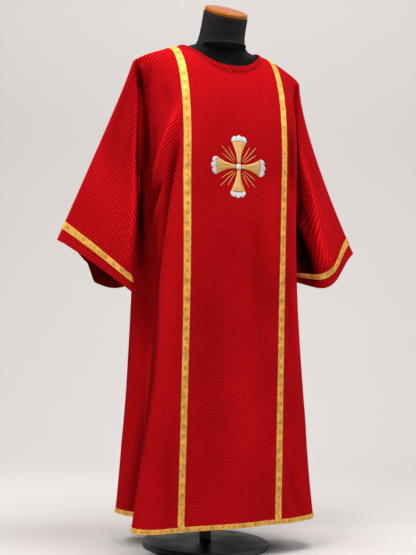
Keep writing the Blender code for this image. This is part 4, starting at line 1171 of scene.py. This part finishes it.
def joinPieces(name, pieces, finish):   # closed raised forms in one object
    points, faces, places, shift = [], [], [], 0
    for grid, normals, low, high, across, up, loops in pieces:
        rows, columns = grid.shape[:2]
        inner, outer = grid + normals * low[..., None], grid + normals * high[..., None]
        walls, corners, _ = wallFaces(rows, columns, loops)
        if loops:
            across = np.concatenate([across, across[:, :1]], axis=1)
            up = np.concatenate([up, 2 * up[:, -1:] - up[:, -2:-1]], axis=1)
        flat = np.concatenate([inner.reshape(-1, 3), outer.reshape(-1, 3)])
        if insideOut(flat, walls):
            walls, corners = ([item[::-1] for item in items] for items in (walls, corners))
        points.extend(flat)
        faces.extend(tuple(v + shift for v in face) for face in walls)
        places.extend([(across[spot], up[spot]) for spot in corner] for corner in corners)
        shift += len(flat)
    return addMesh(name, points, faces, places, [finish])


def crossPiece(along, side, turn, dome, loops=False):   # a form laid on the chest, turned about the middle
    cos, sin = round(math.cos(turn)), round(math.sin(turn))
    grid, normals, lift = onChest(along * sin + side * cos, along * cos - side * sin)
    low = lift + half + crossShape["lift"]
    return grid, normals, low, low + crossShape["edge"] + dome, side, along, loops


armPieces, capPieces = [], []
rows = np.linspace(0.0, 1.0, crossShape["armGrid"][0])[:, None]
sides = np.linspace(-1.0, 1.0, crossShape["armGrid"][1])[None, :]
start, end = crossShape["arm"]
narrow, wide = crossShape["half"]
armHalf = narrow + (wide - narrow) * rows ** 2
armAlong = start + (end - start) * rows + crossShape["bow"] * rows ** 3 * (1 - sides ** 2)
near, far = crossShape["domeEnds"]
armDome = crossShape["dome"] * (1 - sides ** 4) * smoothStep((1 - rows) / far) * smoothStep(rows / near)
last, fade = crossShape["veinEnd"]
vein = np.exp(-(sides * armHalf / crossShape["veinWidth"]) ** 2) * smoothStep((last - rows) / fade)
capSides = np.linspace(-1.0, 1.0, crossShape["capGrid"][0])[:, None]
capDepth = np.linspace(0.0, 1.0, crossShape["capGrid"][1])[None, :]
capGap, least, most = crossShape["cap"]
capInner = end + crossShape["bow"] * (1 - capSides ** 2) + capGap
outerLobe = crossShape["lobes"][0][1]
deep = least + np.max([most * np.sqrt(np.maximum(0.0, 1 - ((capSides - at) / size) ** 2)) * (size / outerLobe)
                       for at, size in crossShape["lobes"]], axis=0)
capAlong = capInner + deep * capDepth
capAcross = wide * capSides * (1.0 + crossShape["capFlare"] * capSides ** 2 * capDepth)
capDome = crossShape["dome"] * np.sqrt(np.maximum(0.0, 1 - (2 * capDepth - 1) ** 2)) * (deep / deep.max())
for quarter in range(4):
    turn = quarter * math.pi / 2
    armPieces.append(crossPiece(armAlong, armHalf * sides, turn, armDome - crossShape["vein"] * vein))
    capPieces.append(crossPiece(capAlong, capAcross, turn, capDome))
spin = 2 * math.pi * np.arange(crossShape["bossColumns"])[None, :] / crossShape["bossColumns"]
radii = np.array(crossShape["bossRadii"])[:, None]
bossDome = crossShape["dome"] * crossShape["bossDome"] * (1 - radii ** 4)
bossRadii = crossShape["boss"] * radii
capPieces.append(crossPiece(bossRadii * np.cos(spin), bossRadii * np.sin(spin), 0.0, bossDome, loops=True))
arms = joinPieces("chest_cross_gold_arms", armPieces, goldStitch)
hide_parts("cross_arm_up", "cross_arm_left", "cross_arm_down", "cross_arm_right")
caps = joinPieces("chest_cross_silver_caps", capPieces, silverStitch)
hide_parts("cross_cap_up", "cross_cap_left", "cross_cap_down", "cross_cap_right", "cross_boss")

rayPieces = []
rayRows, rayColumns = crossShape["rayGrid"]
sides = np.linspace(-1.0, 1.0, rayColumns)[None, :]
swell = 0.6 + 0.4 * np.sin(math.pi * np.linspace(0, 1, rayRows))[:, None]
side = crossShape["rayWidth"] / 2 * swell * sides
for quarter in range(4):
    for k, rayEnd in enumerate(crossShape["rayEnd"]):
        spread = crossShape["raySpread"] * (k / (len(crossShape["rayEnd"]) - 1) - 0.5)
        bearing = math.radians(45.0 + 90.0 * quarter + spread)
        reach = np.linspace(crossShape["rayStart"], rayEnd, rayRows)[:, None]
        grid, normals, lift = onChest(reach * math.cos(bearing) - side * math.sin(bearing),
                                      reach * math.sin(bearing) + side * math.cos(bearing))
        low = lift + half + crossShape["rayLift"]
        high = low + crossShape["rayEdge"] + crossShape["rayDome"] * (1 - sides ** 2)
        rayPieces.append((grid, normals, low, high, side, np.broadcast_to(reach, low.shape), False))
rays = joinPieces("chest_cross_gold_rays", rayPieces, goldStitch)
print("cross embroidered")


def stitchTree(name):   # beads of thread laid along a line, all in geometry nodes
    tree = bpy.data.node_groups.new(name, "GeometryNodeTree")
    socket = tree.interface.new_socket
    socket(name="Geometry", in_out="INPUT", socket_type="NodeSocketGeometry")
    for label in ("Pitch", "Length", "Width", "Height"):
        socket(name=label, in_out="INPUT", socket_type="NodeSocketFloat")
    socket(name="Thread", in_out="INPUT", socket_type="NodeSocketMaterial")
    socket(name="Geometry", in_out="OUTPUT", socket_type="NodeSocketGeometry")
    given, result = tree.nodes.new("NodeGroupInput"), tree.nodes.new("NodeGroupOutput")
    curve = addNode(tree, "GeometryNodeMeshToCurve", {"Mesh": given.outputs["Geometry"]})
    spots = addNode(tree, "GeometryNodeCurveToPoints", {"Curve": curve.outputs["Curve"],
                                                        "Length": given.outputs["Pitch"]}, mode="LENGTH")
    outward = addNode(tree, "GeometryNodeInputNamedAttribute", {"Name": "outward"}, data_type="FLOAT_VECTOR")
    turned = addNode(tree, "FunctionNodeAxesToRotation", primary_axis="Z", secondary_axis="X")
    tree.links.new(outward.outputs[0], turned.inputs["Primary Axis"])
    tree.links.new(spots.outputs["Tangent"], turned.inputs["Secondary Axis"])
    bead = addNode(tree, "GeometryNodeMeshUVSphere", {"Segments": 6, "Rings": 4, "Radius": 0.5})
    size = addNode(tree, "ShaderNodeCombineXYZ", {"X": given.outputs["Length"], "Y": given.outputs["Width"],
                                                  "Z": given.outputs["Height"]})
    uneven = addNode(tree, "FunctionNodeRandomValue", {"Min": (0.86, 0.88, 0.88), "Max": (1.1, 1.08, 1.08),
                                                       "Seed": 7}, data_type="FLOAT_VECTOR")
    scaled = addNode(tree, "ShaderNodeVectorMath", {0: size.outputs[0], 1: uneven.outputs[0]},
                     operation="MULTIPLY")
    placed = addNode(tree, "GeometryNodeInstanceOnPoints", {
        "Points": spots.outputs["Points"], "Instance": bead.outputs["Mesh"],
        "Rotation": turned.outputs["Rotation"], "Scale": scaled.outputs[0]})
    real = addNode(tree, "GeometryNodeRealizeInstances", {"Geometry": placed.outputs["Instances"]})
    smooth = addNode(tree, "GeometryNodeSetShadeSmooth", {"Geometry": real.outputs[0]})
    finish = addNode(tree, "GeometryNodeSetMaterial", {"Geometry": smooth.outputs[0],
                                                       "Material": given.outputs["Thread"]})
    tree.links.new(finish.outputs[0], result.inputs[0])
    return tree


stitchRows = stitchTree("stitch rows")


def stitch(name, lines, outs, values, thread, loops=False):
    # lines and outs: one array of places and of directions for each row of stitches
    points, edges, directions = [], [], []
    for line, out in zip(lines, outs):
        base = len(points)
        points.extend(line)
        directions.extend(out)
        edges.extend((base + k, base + k + 1) for k in range(len(line) - 1))
        if loops:
            edges.append((base + len(line) - 1, base))
    mesh = bpy.data.meshes.new(name)
    mesh.from_pydata([tuple(p) for p in points], edges, [])
    layer = mesh.attributes.new("outward", "FLOAT_VECTOR", "POINT")
    layer.data.foreach_set("vector", np.array(directions).ravel())
    carrier = bpy.data.objects.new(name, mesh)
    bpy.context.scene.collection.objects.link(carrier)
    modifier = carrier.modifiers.new("stitch rows", "NODES")
    modifier.node_group = stitchRows
    for item in stitchRows.interface.items_tree:
        if item.in_out == "INPUT" and item.name in values:
            modifier[item.identifier] = values[item.name]
        if item.in_out == "INPUT" and item.name == "Thread":
            modifier[item.identifier] = thread
    graph = bpy.context.evaluated_depsgraph_get()
    plain = bpy.data.meshes.new_from_object(carrier.evaluated_get(graph))
    carrier.modifiers.clear()
    carrier.data = plain
    return carrier


seamStitch = {"Pitch": 0.0046, "Length": 0.0034, "Width": 0.00075, "Height": 0.00075}
bindingStitch = {"Pitch": 0.0040, "Length": 0.0030, "Width": 0.0008, "Height": 0.0008}
stitchPlace = {"sink": 0.0001, "inward": 0.4, "freeRows": 3}
lines, outs = [], []
for name in ("right", "left"):
    edge = made["edge " + name]
    for column in (1, trim["ribbonColumns"] - 2):
        rows = slice(stitchPlace["freeRows"], -stitchPlace["freeRows"])
        outs.append(edge["normals"][rows, column])
        lines.append(edge["points"][rows, column] + outs[-1] * (edge["high"][rows, column, None]
                                                                - stitchPlace["sink"]))
clavusStitches = stitch("clavus_stitching", lines, outs, seamStitch, goldThread)
trimStitches = []
for place, pieces in (("hem", [hem]), ("cuff", [made["band right"], made["band left"]])):
    lines, outs = [], []
    for piece in pieces:
        points, normals, high = ribbonEdges[piece.name]
        for outer, inner in ((0, 1), (-1, -2)):
            edge = points + normals * (high[..., None] - stitchPlace["sink"])
            lines.append((1 - stitchPlace["inward"]) * edge[outer] + stitchPlace["inward"] * edge[inner])
            outs.append(normals[outer])
    trimStitches.append(stitch(place + "_stitching", lines, outs, seamStitch, goldThread, loops=True))
line, out = bindingFoot
bindingStitches = stitch("binding_stitching", [line], [out], bindingStitch, redThread, loops=True)
print("stitches sewn")

formShape = {
    "rings": [   # height, half width, depth forward and back
        (0.620, 0.140, 0.085, 0.095), (0.640, 0.156, 0.098, 0.110), (0.730, 0.170, 0.108, 0.122),
        (0.820, 0.165, 0.102, 0.112), (0.930, 0.138, 0.088, 0.086), (1.030, 0.146, 0.102, 0.088),
        (1.120, 0.163, 0.114, 0.100), (1.190, 0.177, 0.106, 0.102), (1.245, 0.196, 0.084, 0.084),
        (1.278, 0.212, 0.058, 0.058),
    ],
    "square": 2.2, "footRound": 0.002, "footSteps": (0.620, 0.623, 0.629), "bodySteps": 46,
    "shoulders": (0.218, 0.098), "shoulderDepth": (0.036, 0.040), "shoulderSteps": 16, "clearance": 0.0030,
    "neckFoot": (0.0, -0.012, 0.006), "neckRadius": 0.0602, "neckLean": math.radians(23.0),
    "neckTop": (-0.003, -0.042, 1.432),
    "neckSwell": [   # share of the neck's height, and swell there
        (0.0, 1.16), (0.06, 1.11), (0.12, 1.07), (0.22, 1.04), (0.32, 1.02), (0.5, 1.005), (0.65, 1.0),
        (0.8, 1.0), (0.92, 1.0), (0.975, 0.995), (1.0, 0.97),
    ],
    # the cover's seams: centre front and back, sides and princess lines
    "seams": (0.0, 180.0, 90.0, 270.0, 38.0, 322.0, 142.0, 218.0), "seamDepth": 0.0007, "seamWidth": 0.03,
    "count": 88,
    "capRadius": 0.0585, "capThickness": 0.0115, "capCount": 72,
    "capProfile": [   # share of the radius, and of the thickness
        (0.930, 0.0), (0.975, 0.06), (0.995, 0.16), (1.0, 0.32), (1.0, 0.62), (0.990, 0.82), (0.955, 0.95),
        (0.900, 1.0), (0.5, 1.0),
    ],
}
formAngles = 2 * math.pi * np.arange(formShape["count"]) / formShape["count"]


def formRing(width, front, back, square, height):   # one level section of the dress form
    across, along = np.sin(formAngles), np.cos(formAngles)
    depth = np.where(along > 0, front, back)
    radius = ((abs(across) / width) ** square + (abs(along) / depth) ** square) ** (-1 / square)
    return np.stack([radius * across, -radius * along, np.full(len(across), height)], axis=1)


def curveThrough(keys, values, places):   # smooth curve through the rows
    slopes = np.gradient(values, keys)
    k = np.clip(np.searchsorted(keys, places, side="right") - 1, 0, len(keys) - 2)
    span = keys[k + 1] - keys[k]
    t = (places - keys[k]) / span
    return ((2 * t ** 3 - 3 * t ** 2 + 1) * values[k] + (t ** 3 - 2 * t ** 2 + t) * span * slopes[k]
            + (3 * t ** 2 - 2 * t ** 3) * values[k + 1] + (t ** 3 - t ** 2) * span * slopes[k + 1])


def tubeFaces(rows, count):   # quads round a tube, then a fan to the middle of each end
    faces = []
    around = [(column, (column + 1) % count) for column in range(count)]
    for row in range(rows - 1):
        for a, b in around:
            faces.append(tuple(row * count + k for k in (a, b, b + count, a + count)))
    faces += [(b, a, rows * count) for a, b in around]
    last = (rows - 1) * count
    return faces + [(last + a, last + b, rows * count + 1) for a, b in around]


table = np.array(formShape["rings"])
low, rounded, high = table[0, 0], table[1, 0], table[-1, 0]
rings = []
for height in np.concatenate([formShape["footSteps"], np.linspace(rounded, high, formShape["bodySteps"])]):
    sizes = [float(curveThrough(table[:, 0], table[:, c], np.array(height))) for c in range(1, 4)]
    if height < rounded:
        swell = formShape["footRound"] * math.sin(math.pi * (height - low) / (rounded - low))
        sizes = [float(np.interp(height, table[:2, 0], table[:2, c])) + swell for c in range(1, 4)]
    rings.append(formRing(*sizes, formShape["square"], height))
for share in np.linspace(0.0, 1.0, formShape["shoulderSteps"]):
    width, depth = (ends[0] + (ends[1] - ends[0]) * share
                    for ends in (formShape["shoulders"], formShape["shoulderDepth"]))
    height = float(shoulderHeight(width)) - formShape["clearance"]
    rings.append(formRing(width, depth, depth, 2.0, height))
foot = np.array(formShape["neckFoot"])
foot[2] += float(shoulderHeight(formShape["shoulders"][1]))
top = np.array(formShape["neckTop"])
for share, swell in formShape["neckSwell"]:
    tilt = np.array(Matrix.Rotation(formShape["neckLean"] * share, 3, "X"))
    radius = formShape["neckRadius"] * swell
    rings.append(foot + (top - foot) * share + formRing(radius, radius, radius, 2.0, 0.0) @ tilt.T)
rings = np.array(rings)
seams = np.radians(formShape["seams"])
nearSeam = np.min(abs((formAngles[:, None] - seams + math.pi) % (2 * math.pi) - math.pi), axis=1)
sunk = formShape["seamDepth"] * np.exp(-(nearSeam / formShape["seamWidth"]) ** 2)
normals = gridNormals(rings, loops=True)
normals *= np.sign(np.sum(normals * (rings - rings.mean(axis=1, keepdims=True))))
rings = rings - normals * sunk[None, :, None]
around = runAlong(rings, 1)
around = np.concatenate([around, 2 * around[:, -1:] - around[:, -2:-1]], axis=1)
along = runAlong(rings, 0).mean(axis=1)
places = [[(around[row + up, column + on], along[row + up]) for up, on in ((0, 0), (0, 1), (1, 1), (1, 0))]
          for row in range(len(rings) - 1) for column in range(formShape["count"])]
places += [[(0.0, along[row])] * 3 for row in (0, -1) for _ in range(formShape["count"])]
points = [*rings.reshape(-1, 3), rings[0].mean(axis=0), rings[-1].mean(axis=0)]
faces = tubeFaces(len(rings), formShape["count"])
form = addMesh("dress_form", points, faces, places, [jersey()], sharp=50.0)
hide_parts("form_torso")

lean = Matrix.Rotation(formShape["neckLean"], 3, "X")
capSeat = Vector(formShape["neckTop"]) + lean @ Vector((0.0, 0.0, gap))
corners = []
for reach, rise in formShape["capProfile"]:
    for k in range(formShape["capCount"]):
        angle = 2 * math.pi * k / formShape["capCount"]
        corners.append((reach * math.cos(angle), reach * math.sin(angle), rise))
corners += [(0.0, 0.0, 0.0), (0.0, 0.0, 1.0)]
size = (formShape["capRadius"], formShape["capRadius"], formShape["capThickness"])
points = [capSeat + lean @ (Vector(corner) * Vector(size)) for corner in corners]
faces = tubeFaces(len(formShape["capProfile"]), formShape["capCount"])
cap = addMesh("turned_neck_cap", points, faces, None, [honeyWood()], sharp=50.0)
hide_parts("neck_cap")

steel = powderCoat()
for node in ("stand_pole", "stand_base"):
    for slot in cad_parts[node].material_slots:
        slot.material = steel
print("form and stand finished")

cloths = [made[name] for name in ("front_panel", "back_panel_right", "back_panel_left", "right", "left")]
cloths += [neck, bindingStitches]
golds = [made["clavus right"], made["clavus left"], hem, made["band right"], made["band left"], arms, rays,
         clavusStitches] + trimStitches
for piece in cloths + golds + [caps, form, cap]:
    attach(piece, "root")


front = made["front_panel"]
for name in ("front_panel", "back_panel_right", "back_panel_left"):
    cut = made["cut " + name]
for name, sleeve in sleeves.items():
    edge, band = made["edge " + name], made["band " + name]

cameraView = {"azimuth": math.radians(30.0), "distance": 3.4575, "height": 0.71, "aside": -0.0103,
              "lens": 82.9, "sensor": 36.0, "shiftUp": 0.0117, "roll": math.radians(1.5)}
studio = {
    "paper": (0.570, 0.550, 0.540, 1.0),
    "bend": 1.5, "back": 3.0, "front": -7.0, "half": 8.0, "top": 7.0,
    "world": (0.80, 0.80, 0.82, 1.0), "worldStrength": 0.11,
    "lights": [   # name, place, aimed at, size, power, colour
        ("left soft box", (-2.4, -1.4, 2.8), (0.0, 0.0, 0.9), (1.2, 1.6), 57.0, (1.0, 0.985, 0.97)),
        ("right soft box", (2.4, -1.5, 2.8), (0.0, 0.0, 0.9), (1.2, 1.6), 58.0, (0.98, 0.99, 1.0)),
        ("top soft box", (0.0, -1.3, 4.1), (0.0, 0.0, 1.0), (1.8, 1.2), 98.0, (1.0, 0.985, 0.965)),
        ("floor fill", (-1.5, -0.2, 2.4), (-0.9, 0.3, 0.0), (0.9, 0.9), 23.0, (1.0, 0.99, 0.98)),
        ("paper wash", (-0.2, 0.6, 4.4), (1.0, 2.6, 0.4), (4.0, 1.2), 86.0, (1.0, 0.99, 0.98)),
    ],
}
bend, back = studio["bend"], studio["back"]
profile = [(studio["front"], 0.0), (back - bend, 0.0)]
profile += [(back - bend + bend * math.sin(turn), bend - bend * math.cos(turn))
            for turn in np.linspace(0.05, math.pi / 2, 24)]
profile += [(back, studio["top"])]
towards = Matrix.Rotation(-cameraView["azimuth"], 3, "Z")   # the paper faces the camera
points = [towards @ Vector((x, y, z)) for y, z in profile for x in (-studio["half"], studio["half"])]
faces = [(2 * k, 2 * k + 1, 2 * k + 3, 2 * k + 2) for k in range(len(profile) - 1)]
mesh = bpy.data.meshes.new("paper sweep")
mesh.from_pydata([tuple(p) for p in points], [], faces)
mesh.shade_smooth()
paper, tree, shader = newMaterial("pale studio paper", {"Roughness": 0.85, "Specular IOR Level": 0.2})
mottled = blendColor(tree, noise(tree, onPiece(tree), 1.2, 2.0), studio["paper"],
                     toned(studio["paper"], 1.03))
tree.links.new(mottled, shader.inputs["Base Color"])
mesh.materials.append(paper)
sweep = bpy.data.objects.new("paper sweep", mesh)
bpy.context.scene.collection.objects.link(sweep)

world = bpy.data.worlds.new("studio")
bpy.context.scene.world = world
world.use_nodes = True
sky = world.node_tree.nodes["Background"].inputs
sky["Color"].default_value = studio["world"]
sky["Strength"].default_value = studio["worldStrength"]
for name, place, aim, size, power, color in studio["lights"]:
    lamp = bpy.data.lights.new(name, "AREA")
    lamp.shape = "RECTANGLE"
    lamp.size, lamp.size_y = size
    lamp.energy = power
    lamp.color = color
    holder = bpy.data.objects.new(name, lamp)
    holder.location = place
    holder.rotation_euler = (Vector(aim) - Vector(place)).to_track_quat("-Z", "Y").to_euler()
    bpy.context.scene.collection.objects.link(holder)

azimuth, roll = cameraView["azimuth"], cameraView["roll"]
forward = Vector((math.sin(azimuth), math.cos(azimuth), 0.0))
right = Vector((forward.y, -forward.x, 0.0))
upright = Vector((0.0, 0.0, 1.0))
camera = bpy.data.cameras.new("camera")
camera.lens = cameraView["lens"]
camera.sensor_width = cameraView["sensor"]
camera.shift_y = cameraView["shiftUp"]
viewer = bpy.data.objects.new("camera", camera)
rolled = (right * math.cos(roll) + upright * math.sin(roll),
          upright * math.cos(roll) - right * math.sin(roll))
stand = right * cameraView["aside"] + upright * cameraView["height"] - forward * cameraView["distance"]
viewer.matrix_world = Matrix.Translation(stand) @ Matrix((*rolled, -forward)).transposed().to_4x4()
bpy.context.scene.collection.objects.link(viewer)
bpy.context.scene.camera = viewer
bpy.context.scene.view_settings.view_transform = "Standard"
bpy.context.scene.view_settings.look = "None"
